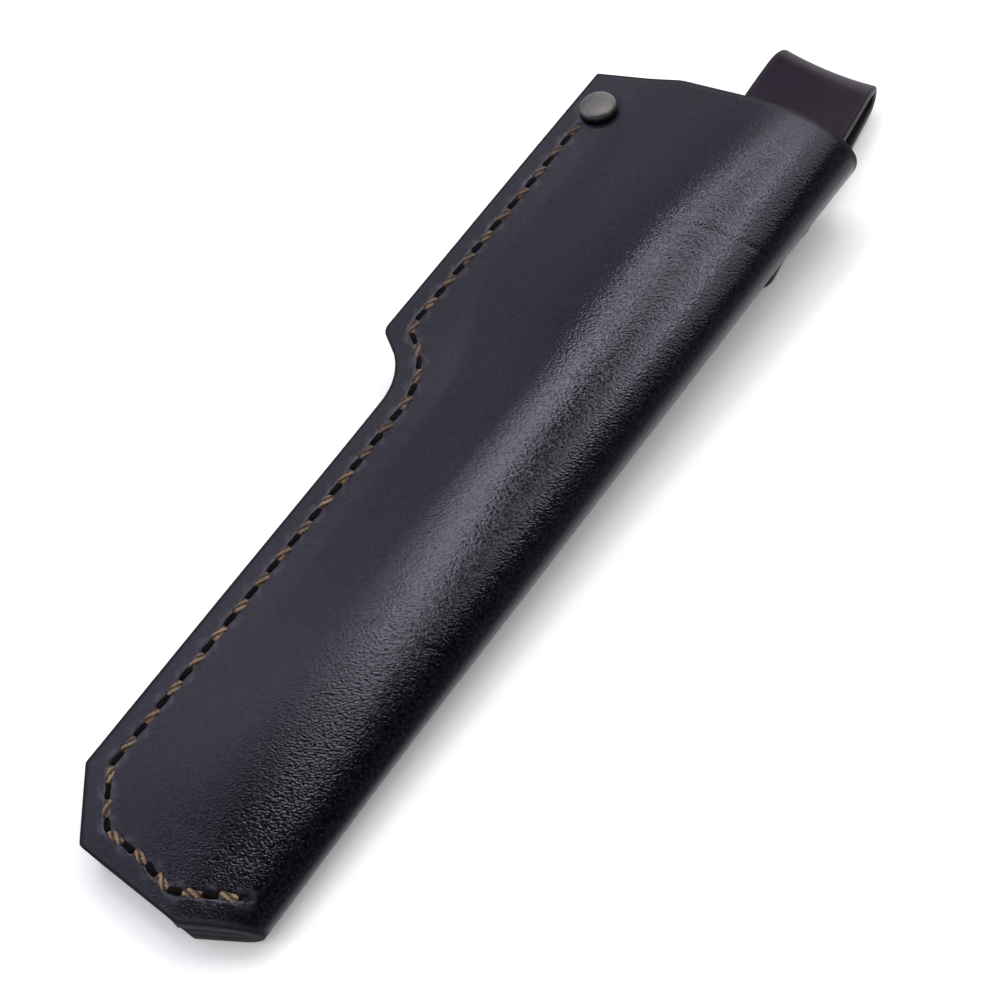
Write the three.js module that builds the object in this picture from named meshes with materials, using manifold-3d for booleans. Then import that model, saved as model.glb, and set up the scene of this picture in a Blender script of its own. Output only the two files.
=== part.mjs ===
// Folded leather knife sheath with a welted, two-colour saddle-stitched edge,
// a cap rivet at the mouth and a riveted belt loop, lying on its back.
// Millimetres. In the sheath's own frame x runs from the blade part's cut edge to the fold,
// y from the tip to the mouth, and z up from the middle of the stitched edge.
import * as THREE from 'three';
import { mergeGeometries, mergeVertices } from 'three/addons/utils/BufferGeometryUtils.js';
import Module from 'manifold-3d';

const wasm = await Module();
wasm.setup();

// Leather layers
const WALL = 3.3; // folded body leather
const WELT_THICKNESS = 3.4; // strip sewn in between the two walls
const STRAP_THICKNESS = 2.2; // thinner leather of the belt loop
const LAYER_GAP = 0.2; // clearance between pieces laid on each other

// Plan of the sheath
const LENGTH = 223.3; // tip to mouth
const BLADE_WIDTH = 52.8; // cut edge to fold, over the blade
const FOLD_FLARE = 3.4; // how much further out the fold stands at the mouth
const STEP_WIDTH = 11.7; // how far the handle part stands out past the blade part
const STEP_HEIGHT = 123; // tip to the foot of the step
const STEP_RISE = 6.9; // length of the step's slope along the sheath
const STEP_FOOT_RADIUS = 16.7;
const STEP_HEAD_RADIUS = 3.5;
const TIP_CHAMFER_ACROSS = 11.2; // corner cut off at the stitched side
const TIP_CHAMFER_ALONG = 14.4;
const TIP_SLANT = 0.8; // the tip's end rises a little towards the stitched side
const FOLD_CHAMFER_ACROSS = 13.9; // corner cut off at the fold
const FOLD_CHAMFER_ALONG = 7.7;
const TIP_RADIUS = 1.2;
const MOUTH_SLOPE_ACROSS = 20.5; // the mouth slopes down towards the rivet
const MOUTH_SLOPE_ALONG = 6.3;
const MOUTH_RADIUS = 1;

// Swell of the pocket
const FRONT_SWELL = 4.5; // rise of the front wall at the mouth
const BACK_SWELL = 3.4; // rise of the back wall under the belt loop
const BACK_SWELL_LENGTH = 150; // tip to where the back wall runs level
const BACK_SHOULDER = 15; // width over which the back wall rises
const TURN_WIDTH = 25; // width over which the front wall turns over into the fold
const TURN_START = 20; // tip to where the turn begins to widen
const TURN_GROWTH = 19; // length over which it widens
const MOUTH_TURN_WIDTH = 18; // the same width at the mouth
const MOUTH_TURN_LENGTH = 48; // length over which it falls to that

// Seam
const PITCH = 3.63; // seven stitches to the inch
const EDGE_MARGIN = 5.4; // cut edge to stitch line
const WELT_INSIDE = 5.6; // stitch line to the welt's inner edge
const THREAD = 0.95;
const THREAD_GAP = 0.25; // room round a thread in its slit
const THREAD_LIFT = 0.1; // thread over the bottom of its groove
const GROOVE_DEPTH = 1.1; // stitching groove in both faces
const SLIT_ANGLE = 1.31; // slant of an awl slit to the stitch line
const SEAM_END_INSET = 2.2; // last slit to the welt's end
const SEAM_RIVET_GAP = 1.5; // first slit to the rivet's cap

// Double-cap rivets
const CAP_DIAMETER = 9;
const CAP_HEIGHT = 2.2;
const CAP_RIM = 0.7; // height of the cap's upright rim
const POST_DIAMETER = 2.6;
const SOCKET_WALL = 0.6;
const RIVET_GAP = 0.2; // clearance round the rivet's pieces
const RIVET_FROM_EDGE = 7.3;
const RIVET_FROM_MOUTH = 16.2;

// Belt loop
const LOOP_RISE = 33.2; // mouth to the top of the loop
const LOOP_GAP = 5.2; // room for the belt
const LOOP_CLEAR = 40; // inside height of the loop, for the belt's width
const LOOP_BEND_LENGTH = 12; // stretch in which the back layer closes on the front one
const STRAP_TAIL = 34; // mouth to the strap's lower end
const STRAP_FROM_FOLD = 4.7; // fold at the mouth to the strap's flared side, at its lower end
const STRAP_TOP_WIDTH = 25.4;
const STRAP_TAIL_WIDTH = 34.6;
const STRAP_TAIL_RADIUS = 4;
const LOOP_RIVET_FROM_SIDE = 8.3;
const LOOP_RIVET_FROM_TAIL = 8;

// Fineness of the faceted surfaces
const STATIONS = 12;
const RISE_STEPS = 6;
const FOLD_STEPS = 10;
const SHOULDER_STEPS = 4;
const ARC_STEPS = 4;
const LATHE_STEPS = 14;
const THREAD_SIDES = 4;
const OVERSIZE = 30; // how far cutting shapes reach past the leather

// Sizes that follow
const FLANGE = 2 * WALL + WELT_THICKNESS + 2 * LAYER_GAP;
const HALF = FLANGE / 2;
const CREST_X = BLADE_WIDTH - HALF;
const WELT_WIDTH = EDGE_MARGIN + WELT_INSIDE;
const RIVET = new THREE.Vector2(RIVET_FROM_EDGE - STEP_WIDTH, LENGTH - RIVET_FROM_MOUTH);
const SOCKET_RADIUS = POST_DIAMETER / 2 + RIVET_GAP + SOCKET_WALL;
const RIVET_HOLE_RADIUS = SOCKET_RADIUS + RIVET_GAP;

// Corners of the cut edge, from the mouth down the stitched side to the fold at the tip
const CUT_EDGE = [
  { x: -STEP_WIDTH, y: LENGTH - MOUTH_SLOPE_ALONG, r: MOUTH_RADIUS },
  { x: -STEP_WIDTH, y: STEP_HEIGHT + STEP_RISE, r: STEP_HEAD_RADIUS },
  { x: 0, y: STEP_HEIGHT, r: STEP_FOOT_RADIUS },
  { x: 0, y: TIP_CHAMFER_ALONG, r: TIP_RADIUS },
  { x: TIP_CHAMFER_ACROSS, y: TIP_SLANT, r: TIP_RADIUS },
  { x: BLADE_WIDTH - FOLD_CHAMFER_ACROSS, y: 0, r: TIP_RADIUS },
  { x: BLADE_WIDTH, y: FOLD_CHAMFER_ALONG, r: 0 },
];

const smooth = (t) => {
  const u = THREE.MathUtils.clamp(t, 0, 1);
  return u * u * (3 - 2 * u);
};

// Traces corners as straight runs with round arcs, each arc cut down to the runs beside it.
function traceCorners(path, corners, closed) {
  const n = corners.length;
  const points = corners.map((c) => new THREE.Vector2(c.x, c.y));
  const wanted = corners.map((corner, i) => {
    if (!closed && (i === 0 || i === n - 1)) return 0;
    const a = points[(i + n - 1) % n].clone().sub(points[i]);
    const b = points[(i + 1) % n].clone().sub(points[i]);
    return corner.r / Math.tan(Math.abs(a.angleTo(b)) / 2);
  });
  const share = (i, j) => Math.min(1, (0.98 * points[i].distanceTo(points[j])) / (wanted[i] + wanted[j] || 1));
  const reach = wanted.map((w, i) => w * Math.min(share(i, (i + 1) % n), share((i + n - 1) % n, i)));
  for (let i = 0; i < n; i += 1) {
    const p = points[i];
    const before = points[(i + n - 1) % n].clone().sub(p).normalize();
    const after = points[(i + 1) % n].clone().sub(p).normalize();
    const start = before.multiplyScalar(reach[i]).add(p);
    if (i === 0) path.moveTo(start.x, start.y);
    else path.lineTo(start.x, start.y);
    if (reach[i] > 0) {
      const end = after.multiplyScalar(reach[i]).add(p);
      path.quadraticCurveTo(p.x, p.y, end.x, end.y);
    }
  }
  if (closed) path.closePath();
  return path;
}

// The same open run of corners moved inwards by a distance.
function insetCorners(corners, distance) {
  const lines = corners.slice(1).map((corner, i) => {
    const from = new THREE.Vector2(corners[i].x, corners[i].y);
    const along = new THREE.Vector2(corner.x, corner.y).sub(from).normalize();
    const inward = new THREE.Vector2(-along.y, along.x);
    return { from: from.addScaledVector(inward, distance), along };
  });
  const crossing = (one, two) => {
    const gap = two.from.clone().sub(one.from);
    const t = gap.cross(two.along) / one.along.cross(two.along);
    return one.from.clone().addScaledVector(one.along, t);
  };
  return corners.map((corner, i) => {
    if (i === 0) return { x: lines[0].from.x, y: lines[0].from.y, r: 0 };
    if (i === corners.length - 1) {
      const last = lines[i - 1];
      const length = Math.hypot(corner.x - corners[i - 1].x, corner.y - corners[i - 1].y);
      const end = last.from.clone().addScaledVector(last.along, length);
      return { x: end.x, y: end.y, r: 0 };
    }
    const point = crossing(lines[i - 1], lines[i]);
    const hollow = lines[i - 1].along.cross(lines[i].along) < 0;
    const radius = hollow ? corner.r + distance : Math.max(corner.r - distance, 2 * TIP_RADIUS);
    return { x: point.x, y: point.y, r: radius };
  });
}

// Booleans between closed meshes.
function toSolid(geometry) {
  const bare = new THREE.BufferGeometry();
  bare.setAttribute('position', geometry.getAttribute('position').clone());
  bare.setIndex(geometry.getIndex());
  const merged = mergeVertices(bare, 1e-4);
  return new wasm.Manifold(new wasm.Mesh({
    numProp: 3,
    vertProperties: new Float32Array(merged.getAttribute('position').array),
    triVerts: new Uint32Array(merged.getIndex().array),
  }));
}

function toGeometry(solid) {
  const mesh = solid.getMesh();
  const geometry = new THREE.BufferGeometry();
  geometry.setAttribute('position', new THREE.BufferAttribute(mesh.vertProperties, 3));
  geometry.setIndex(new THREE.BufferAttribute(mesh.triVerts, 1));
  geometry.computeVertexNormals();
  return geometry;
}

function plate(shape, low, high) {
  const settings = { depth: high - low, bevelEnabled: false, curveSegments: ARC_STEPS };
  return new THREE.ExtrudeGeometry(shape, settings).translate(0, 0, low);
}

// Closed skin of a sheet given by the grids of its outer and inner face.
function thickSheet(outer, inner) {
  const rows = outer.length;
  const columns = outer[0].length;
  const positions = [...outer.flat(), ...inner.flat()].flatMap((p) => p.toArray());
  const out = (v, u) => v * columns + u;
  const back = (v, u) => rows * columns + out(v, u);
  const index = [];
  const quad = (a, b, c, d) => index.push(a, b, c, a, c, d);
  for (let v = 0; v < rows - 1; v += 1) {
    for (let u = 0; u < columns - 1; u += 1) {
      quad(out(v, u), out(v, u + 1), out(v + 1, u + 1), out(v + 1, u));
      quad(back(v, u), back(v + 1, u), back(v + 1, u + 1), back(v, u + 1));
    }
    quad(out(v + 1, 0), back(v + 1, 0), back(v, 0), out(v, 0));
    quad(out(v, columns - 1), back(v, columns - 1), back(v + 1, columns - 1), out(v + 1, columns - 1));
  }
  for (let u = 0; u < columns - 1; u += 1) {
    quad(out(0, u + 1), out(0, u), back(0, u), back(0, u + 1));
    quad(out(rows - 1, u), out(rows - 1, u + 1), back(rows - 1, u + 1), back(rows - 1, u));
  }
  const geometry = new THREE.BufferGeometry();
  geometry.setAttribute('position', new THREE.Float32BufferAttribute(positions, 3));
  geometry.setIndex(index);
  return geometry;
}

// Tube with mitred corners along a bent line: each ring is the last one carried along the run.
function bentTube(points, radius, sides) {
  const runs = points.slice(1).map((p, i) => p.clone().sub(points[i]).normalize());
  const up = new THREE.Vector3(1, 1, 0).cross(runs[0]).normalize();
  const side = runs[0].clone().cross(up);
  let ring = Array.from({ length: sides }, (_, k) => {
    const angle = (2 * Math.PI * k) / sides;
    return points[0].clone()
      .addScaledVector(up, radius * Math.cos(angle))
      .addScaledVector(side, radius * Math.sin(angle));
  });
  const rings = [ring];
  for (let i = 1; i < points.length; i += 1) {
    const run = runs[i - 1];
    const normal = i < runs.length ? run.clone().add(runs[i]).normalize() : run;
    ring = ring.map((p) => {
      const t = points[i].clone().sub(p).dot(normal) / run.dot(normal);
      return p.clone().addScaledVector(run, t);
    });
    rings.push(ring);
  }
  const index = [];
  for (let i = 0; i < rings.length - 1; i += 1) {
    for (let k = 0; k < sides; k += 1) {
      const a = i * sides + k;
      const b = i * sides + ((k + 1) % sides);
      index.push(a, b, b + sides, a, b + sides, a + sides);
    }
  }
  const last = (rings.length - 1) * sides;
  for (let k = 1; k < sides - 1; k += 1) {
    index.push(0, k + 1, k);
    index.push(last, last + k, last + k + 1);
  }
  const geometry = new THREE.BufferGeometry();
  geometry.setAttribute('position', new THREE.Float32BufferAttribute(rings.flat().flatMap((p) => p.toArray()), 3));
  geometry.setIndex(index);
  return geometry;
}

// Swell of the two walls at a height along the sheath.
const swellStart = WELT_WIDTH + HALF;
const frontCrest = (y) => HALF + FRONT_SWELL * Math.max(0, (y - swellStart) / (LENGTH - swellStart));
const backCrest = (y) => HALF + BACK_SWELL * smooth((y - swellStart) / (BACK_SWELL_LENGTH - swellStart));
const foldX = (y) => BLADE_WIDTH + FOLD_FLARE * (Math.max(0, y) / LENGTH) ** 2;

// Inner edge of the flat stitched band: it follows the step a little above it.
function bandEdge(y) {
  const past = smooth((y - STEP_HEIGHT) / (2 * STEP_WIDTH + WELT_WIDTH));
  return WELT_WIDTH - STEP_WIDTH * past;
}

// Width of the front wall's turn: tight at the tip, long over the blade, shorter again at the mouth.
function turnWidth(y, radius) {
  const fall = smooth((y - LENGTH + MOUTH_TURN_LENGTH) / MOUTH_TURN_LENGTH);
  const full = TURN_WIDTH - (TURN_WIDTH - MOUTH_TURN_WIDTH) * fall;
  return radius + (full - radius) * smooth((y - TURN_START) / TURN_GROWTH);
}

// One cross-section of the folded leather, from the stitched edge over the front, round the fold and
// back. Each point has the angle along which the wall's thickness is laid off inwards.
function sectionPoints(y) {
  const top = frontCrest(y);
  const bottom = -backCrest(y);
  const radius = (top - bottom) / 2;
  const middle = (top + bottom) / 2;
  const width = turnWidth(y, radius);
  const turn = foldX(y) - width;
  const crest = foldX(y) - radius;
  const edge = bandEdge(y);
  const up = Math.PI / 2;
  const points = [{ x: -STEP_WIDTH - OVERSIZE, z: HALF, angle: up }];
  for (let i = 0; i <= RISE_STEPS; i += 1) {
    const t = i / RISE_STEPS;
    points.push({ x: edge + (turn - edge) * t, z: HALF + (top - HALF) * smooth(t), angle: up });
  }
  for (let i = 1; i <= FOLD_STEPS; i += 1) {
    const angle = up - (Math.PI * i) / FOLD_STEPS;
    const across = angle > 0 ? turn + width * Math.cos(angle) : crest + radius * Math.cos(angle);
    points.push({ x: across, z: middle + radius * Math.sin(angle), angle });
  }
  for (let i = 0; i <= SHOULDER_STEPS; i += 1) {
    const t = 1 - i / SHOULDER_STEPS;
    points.push({ x: edge + BACK_SHOULDER * t, z: -HALF + (bottom + HALF) * smooth(t), angle: -up });
  }
  points.push({ x: -STEP_WIDTH - OVERSIZE, z: -HALF, angle: -up });
  return points;
}

// Whole plan of the sheath, running out past the fold so that only the cut edges are trimmed.
const chamferSlope = FOLD_CHAMFER_ALONG / FOLD_CHAMFER_ACROSS;
const farX = BLADE_WIDTH + FOLD_FLARE + OVERSIZE;
const planCorners = [
  ...CUT_EDGE.slice(0, -1),
  { x: farX, y: chamferSlope * (farX - BLADE_WIDTH + FOLD_CHAMFER_ACROSS), r: 0 },
  { x: farX, y: LENGTH, r: 0 },
  { x: MOUTH_SLOPE_ACROSS - STEP_WIDTH, y: LENGTH, r: MOUTH_RADIUS },
];
const planShape = traceCorners(new THREE.Shape(), planCorners, true);

// Seam: evenly spaced awl slits on a line inside the cut edge, from the tip's fold end to the rivet.
const weltEnd = CREST_X;
function seamLine(fromEdge, reach) {
  const corners = insetCorners(CUT_EDGE, fromEdge);
  const [fold, turn] = corners.slice(-2).reverse();
  corners[0].y = RIVET.y - CAP_DIAMETER / 2 - SEAM_RIVET_GAP + reach;
  fold.x = weltEnd - SEAM_END_INSET + reach;
  fold.y = turn.y + chamferSlope * (fold.x - turn.x);
  return traceCorners(new THREE.Path(), corners.reverse(), false);
}

function seamSlits() {
  const line = seamLine(EDGE_MARGIN, 0);
  const count = Math.round(line.getLength() / PITCH);
  return Array.from({ length: count + 1 }, (_, i) => {
    const place = line.getPointAt(i / count);
    const along = line.getTangentAt(i / count);
    return { place, slant: along.angle() + SLIT_ANGLE };
  });
}
const slits = seamSlits();

// Slits and rivet holes as cutters, tall enough for every layer.
const CUT_HEIGHT = 2 * (HALF + OVERSIZE);
const SLIT_LENGTH = 2 * THREAD + 3 * THREAD_GAP;
const slitCutters = slits.map(({ place, slant }) => {
  const box = new THREE.BoxGeometry(SLIT_LENGTH, THREAD + 2 * THREAD_GAP, CUT_HEIGHT);
  return box.rotateZ(slant).translate(place.x, place.y, 0);
});
const slitSolid = toSolid(mergeGeometries(slitCutters));

// Stitching grooves, as wide as the slits, that let the threads lie level with the leather.
const grooveSides = [-0.5, 0.5].map((side) => (
  seamLine(EDGE_MARGIN + side * SLIT_LENGTH, THREAD).getPoints(ARC_STEPS)));
const grooveShape = new THREE.Shape([...grooveSides[0], ...grooveSides[1].reverse()]);
const grooveFloor = HALF - GROOVE_DEPTH;
const grooveSolid = toSolid(mergeGeometries([
  plate(grooveShape, grooveFloor, HALF + OVERSIZE),
  plate(grooveShape, -HALF - OVERSIZE, -grooveFloor),
]));

function holeCutter(place, low, high) {
  const drill = new THREE.CylinderGeometry(RIVET_HOLE_RADIUS, RIVET_HOLE_RADIUS, high - low, LATHE_STEPS);
  return toSolid(drill.rotateX(Math.PI / 2).translate(place.x, place.y, (low + high) / 2));
}
const mouthRivetHole = holeCutter(RIVET, -HALF - OVERSIZE, HALF + OVERSIZE);

// Belt loop: its levels behind the back wall, and the two rivets side by side in its lower end.
const strapTail = LENGTH - STRAP_TAIL;
const loopTop = LENGTH + LOOP_RISE;
const strapFlared = BLADE_WIDTH + FOLD_FLARE - STRAP_FROM_FOLD;
const strapStraight = strapFlared - STRAP_TAIL_WIDTH;
const loopRivets = [strapStraight + LOOP_RIVET_FROM_SIDE, strapFlared - LOOP_RIVET_FROM_SIDE]
  .map((x) => new THREE.Vector2(x, strapTail + LOOP_RIVET_FROM_TAIL));
const backFace = -backCrest(LENGTH);
const strapFront = backFace - LAYER_GAP;
const strapClosed = strapFront - 2 * STRAP_THICKNESS - LAYER_GAP;
const strapBack = strapFront - 2 * STRAP_THICKNESS - LOOP_GAP;
const bendTop = loopTop - STRAP_THICKNESS - LOOP_CLEAR;
const loopRivetHoles = loopRivets.map((place) => holeCutter(place, strapBack - OVERSIZE, 0));

// Body: one sheet folded round, trimmed to the plan, slit and punched.
function makeBody() {
  const outer = [];
  const inner = [];
  const past = OVERSIZE / 3;
  for (let i = 0; i <= STATIONS; i += 1) {
    const spaced = TURN_START + ((LENGTH + past - TURN_START) * (i - 1)) / (STATIONS - 1);
    const y = i === 0 ? -past : spaced;
    const section = sectionPoints(y);
    outer.push(section.map((p) => new THREE.Vector3(p.x, y, p.z)));
    inner.push(section.map((p) => (
      new THREE.Vector3(p.x - WALL * Math.cos(p.angle), y, p.z - WALL * Math.sin(p.angle)))));
  }
  let solid = toSolid(thickSheet(outer, inner));
  solid = solid.intersect(toSolid(plate(planShape, -HALF - OVERSIZE, HALF + OVERSIZE)));
  solid = solid.subtract(grooveSolid).subtract(slitSolid).subtract(mouthRivetHole);
  loopRivetHoles.forEach((hole) => {
    solid = solid.subtract(hole);
  });
  return toGeometry(solid);
}

// Welt: the plan less the pocket, with a round nose that fills the fold at the tip.
function makeWelt() {
  const inner = insetCorners(CUT_EDGE, WELT_WIDTH).slice(0, -1);
  inner[0].y = LENGTH + OVERSIZE;
  const turn = inner[inner.length - 1];
  const noseTop = turn.y + chamferSlope * (weltEnd - turn.x);
  const pocketCorners = [
    ...inner,
    { x: weltEnd, y: noseTop, r: 0 },
    { x: weltEnd, y: -OVERSIZE, r: 0 },
    { x: farX + OVERSIZE, y: -OVERSIZE, r: 0 },
    { x: farX + OVERSIZE, y: LENGTH + OVERSIZE, r: 0 },
  ];
  const pocket = traceCorners(new THREE.Shape(), pocketCorners, true);
  const half = WELT_THICKNESS / 2;
  const nose = new THREE.CylinderGeometry(half, half, noseTop, LATHE_STEPS).translate(weltEnd, noseTop / 2, 0);
  let strip = toSolid(plate(planShape, -half, half)).subtract(toSolid(plate(pocket, -HALF, HALF)));
  strip = strip.add(toSolid(nose).intersect(toSolid(plate(planShape, -HALF, HALF))));
  return toGeometry(strip.subtract(slitSolid).subtract(mouthRivetHole));
}

// Belt loop strap: a bent band swept across, trimmed to the flared outline, punched for its rivets.
function makeStrap() {
  const top = loopTop - STRAP_THICKNESS - LOOP_GAP / 2;
  const bendEnd = bendTop - LOOP_BEND_LENGTH;
  const middle = (strapFront + strapBack) / 2;
  const outerRadius = (strapFront - strapBack) / 2;
  const innerRadius = outerRadius - STRAP_THICKNESS;
  const band = new THREE.Shape();
  const easeAway = (from, to, fromZ, toZ) => {
    const half = (from + to) / 2;
    band.bezierCurveTo(half, fromZ, half, toZ, to, toZ);
  };
  band.moveTo(strapTail, strapFront);
  band.lineTo(strapTail, strapFront - STRAP_THICKNESS);
  band.lineTo(top, strapFront - STRAP_THICKNESS);
  band.absarc(top, middle, innerRadius, Math.PI / 2, -Math.PI / 2, true);
  band.lineTo(bendTop, strapBack + STRAP_THICKNESS);
  easeAway(bendTop, bendEnd, strapBack + STRAP_THICKNESS, strapClosed + STRAP_THICKNESS);
  band.lineTo(strapTail, strapClosed + STRAP_THICKNESS);
  band.lineTo(strapTail, strapClosed);
  band.lineTo(bendEnd, strapClosed);
  easeAway(bendEnd, bendTop, strapClosed, strapBack);
  band.lineTo(top, strapBack);
  band.absarc(top, middle, outerRadius, -Math.PI / 2, Math.PI / 2, false);
  band.closePath();
  const settings = { depth: STRAP_TAIL_WIDTH + OVERSIZE, bevelEnabled: false, curveSegments: 2 * ARC_STEPS };
  const sweep = new THREE.ExtrudeGeometry(band, settings);
  const [right, ahead, up] = [[1, 0, 0], [0, 1, 0], [0, 0, 1]].map((v) => new THREE.Vector3(...v));
  sweep.applyMatrix4(new THREE.Matrix4().makeBasis(ahead, up, right));
  sweep.translate(strapStraight - OVERSIZE / 2, 0, 0);
  const flare = (STRAP_TAIL_WIDTH - STRAP_TOP_WIDTH) / (loopTop - strapTail);
  const outline = traceCorners(new THREE.Shape(), [
    { x: strapStraight, y: strapTail, r: STRAP_TAIL_RADIUS },
    { x: strapFlared, y: strapTail, r: STRAP_TAIL_RADIUS },
    { x: strapStraight + STRAP_TOP_WIDTH - flare * OVERSIZE, y: loopTop + OVERSIZE, r: 0 },
    { x: strapStraight, y: loopTop + OVERSIZE, r: 0 },
  ], true);
  const trim = plate(outline, strapBack - OVERSIZE, strapFront + OVERSIZE);
  let solid = toSolid(sweep).intersect(toSolid(trim));
  loopRivetHoles.forEach((hole) => {
    solid = solid.subtract(hole);
  });
  return toGeometry(solid);
}

// Threads: each runs on the face for one stitch and on the back for the next, two in every slit.
function makeThread(firstOnFront) {
  const level = grooveFloor + THREAD_LIFT + THREAD / 2;
  const turn = THREAD / 2;
  const offset = (THREAD + THREAD_GAP) / 2;
  const inSlit = (i, side) => {
    const { place, slant } = slits[i];
    return new THREE.Vector3(place.x + side * offset * Math.cos(slant), place.y + side * offset * Math.sin(slant), 0);
  };
  const end = slits.length - 1;
  const points = [];
  for (let i = 0; i < end; i += 1) {
    const onFront = (i % 2 === 0) === firstOnFront;
    const side = onFront ? 1 : -1;
    const z = side * level;
    const from = inSlit(i, side);
    const to = inSlit(i + 1, -side);
    const run = to.clone().sub(from).normalize();
    if (i === 0) points.push(from.clone());
    points.push(from.clone().setZ(z - side * turn));
    points.push(from.clone().addScaledVector(run, turn).setZ(z));
    points.push(to.clone().addScaledVector(run, -turn).setZ(z));
    points.push(to.clone().setZ(z - side * turn));
    if (i === end - 1) points.push(to.clone());
  }
  return bentTube(points, THREAD / 2, THREAD_SIDES);
}

// Rivet pieces, turned about their own axis with the leather's face at zero and the cap above it.
function lathe(profile) {
  return new THREE.LatheGeometry(profile.map(([r, h]) => new THREE.Vector2(r, h)), LATHE_STEPS).rotateX(Math.PI / 2);
}

function capProfile() {
  const radius = CAP_DIAMETER / 2;
  const dome = CAP_HEIGHT - CAP_RIM;
  return [
    [radius - CAP_RIM / 2, RIVET_GAP],
    [radius, RIVET_GAP + CAP_RIM / 2],
    [radius - CAP_RIM / 4, RIVET_GAP + CAP_RIM],
    [radius * 0.8, RIVET_GAP + CAP_RIM + dome * 0.6],
    [radius * 0.45, RIVET_GAP + CAP_RIM + dome * 0.9],
    [0, RIVET_GAP + CAP_HEIGHT],
  ];
}

const socketDepth = 2 * WALL;
function makeRivetCap(grip) {
  const bore = POST_DIAMETER / 2 + RIVET_GAP;
  const depth = Math.min(socketDepth, grip - RIVET_GAP);
  return lathe([
    [0, RIVET_GAP + CAP_RIM],
    [bore, RIVET_GAP + CAP_RIM],
    [bore, -depth],
    [SOCKET_RADIUS, -depth],
    [SOCKET_RADIUS, RIVET_GAP],
    ...capProfile(),
  ]);
}

function makeRivetPost(grip) {
  const shank = POST_DIAMETER / 2;
  return lathe([[0, -grip], [shank, -grip], [shank, RIVET_GAP], ...capProfile()]);
}

// Assembly
const LEATHER = { color: 0x2b2930, roughness: 0.5, metalness: 0 };
const EDGE_LEATHER = { color: 0x1b1a1f, roughness: 0.45, metalness: 0 };
const STRAP_LEATHER = { color: 0x2c2128, roughness: 0.4, metalness: 0 };
const BROWN_WAXED = { color: 0x6b4a30, roughness: 0.7, metalness: 0 };
const BLACK_WAXED = { color: 0x0d0d0e, roughness: 0.7, metalness: 0 };
const GUNMETAL = { color: 0x6b655f, roughness: 0.35, metalness: 0.9 };

const sheath = new THREE.Group();
function addPiece(name, geometry, finish) {
  const mesh = new THREE.Mesh(geometry, new THREE.MeshStandardMaterial(finish));
  mesh.name = name;
  sheath.add(mesh);
  return mesh;
}

addPiece('leather_body', makeBody(), LEATHER);
addPiece('welt_strip', makeWelt(), EDGE_LEATHER);
addPiece('belt_loop_strap', makeStrap(), STRAP_LEATHER);
addPiece('brown_thread', makeThread(true), BROWN_WAXED);
addPiece('black_thread', makeThread(false), BLACK_WAXED);

// Sets a rivet through a stack of leather: the cap on one face, the post's head on the other.
function addRivet(name, place, capFace, postFace) {
  const facing = Math.sign(capFace - postFace);
  const grip = Math.abs(capFace - postFace);
  const cap = addPiece(`${name}_cap`, makeRivetCap(grip), GUNMETAL);
  const post = addPiece(`${name}_post`, makeRivetPost(grip), GUNMETAL);
  cap.position.set(place.x, place.y, capFace);
  post.position.set(place.x, place.y, postFace);
  if (facing < 0) cap.rotation.x = Math.PI;
  else post.rotation.x = Math.PI;
}

addRivet('mouth_rivet', RIVET, HALF, -HALF);
loopRivets.forEach((place, i) => {
  addRivet(`loop_rivet_${i + 1}`, place, strapClosed, backFace + WALL);
});

// The sheath lies on its back, on the tip and on the lower end of the loop's level back layer.
const lie = Math.atan2(-HALF - strapBack, bendTop);
sheath.rotation.x = lie;
sheath.updateMatrixWorld(true);
const extent = new THREE.Box3().setFromObject(sheath, true);
const centre = extent.getCenter(new THREE.Vector3());
sheath.position.set(-centre.x, -centre.y, -extent.min.z);

const part = new THREE.Group();
part.add(sheath);

export default part;
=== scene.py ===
# %% [markdown]
# # A stitched leather knife sheath
# One thick sheet of near-black leather is folded along its length and sewn shut along the open
# side, with a welt strip between the two walls. Two waxed threads, one brown and one black, share
# the awl holes. A rivet closes the edge at the mouth, and a thinner strap behind makes the belt loop.
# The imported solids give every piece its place. They are loaded first and never moved, and each
# of them is then replaced by a surface worked out here.

# %% Load the frame
import bpy
import numpy as np
from mathutils import Matrix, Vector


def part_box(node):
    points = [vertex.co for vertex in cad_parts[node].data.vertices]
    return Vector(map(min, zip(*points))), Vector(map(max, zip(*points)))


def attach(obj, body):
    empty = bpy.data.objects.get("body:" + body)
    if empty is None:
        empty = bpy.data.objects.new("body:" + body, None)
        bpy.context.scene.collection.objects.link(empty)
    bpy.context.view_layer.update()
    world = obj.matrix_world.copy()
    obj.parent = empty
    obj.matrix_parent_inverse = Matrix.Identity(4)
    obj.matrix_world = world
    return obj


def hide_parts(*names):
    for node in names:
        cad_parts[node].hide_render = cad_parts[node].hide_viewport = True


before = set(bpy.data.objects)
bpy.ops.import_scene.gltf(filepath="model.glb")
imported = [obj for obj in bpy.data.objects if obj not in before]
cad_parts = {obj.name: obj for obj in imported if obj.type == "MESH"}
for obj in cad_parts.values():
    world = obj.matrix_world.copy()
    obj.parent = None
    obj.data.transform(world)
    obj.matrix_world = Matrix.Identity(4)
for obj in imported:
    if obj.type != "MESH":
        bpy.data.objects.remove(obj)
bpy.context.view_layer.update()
print("solids:", sorted(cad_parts))

# %% [markdown]
# ## The sheath's own frame
# A maker thinks of the sheath lying flat: x across from the cut edge to the fold, y along from
# the tip to the mouth, z up from the middle of the stitched edge. On the table it lies on its
# tip and on the loop behind the mouth, so the whole sheath is tipped a little. All shapes below
# are worked out flat, in millimetres, and one function lays them down in the frame's metres.

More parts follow.
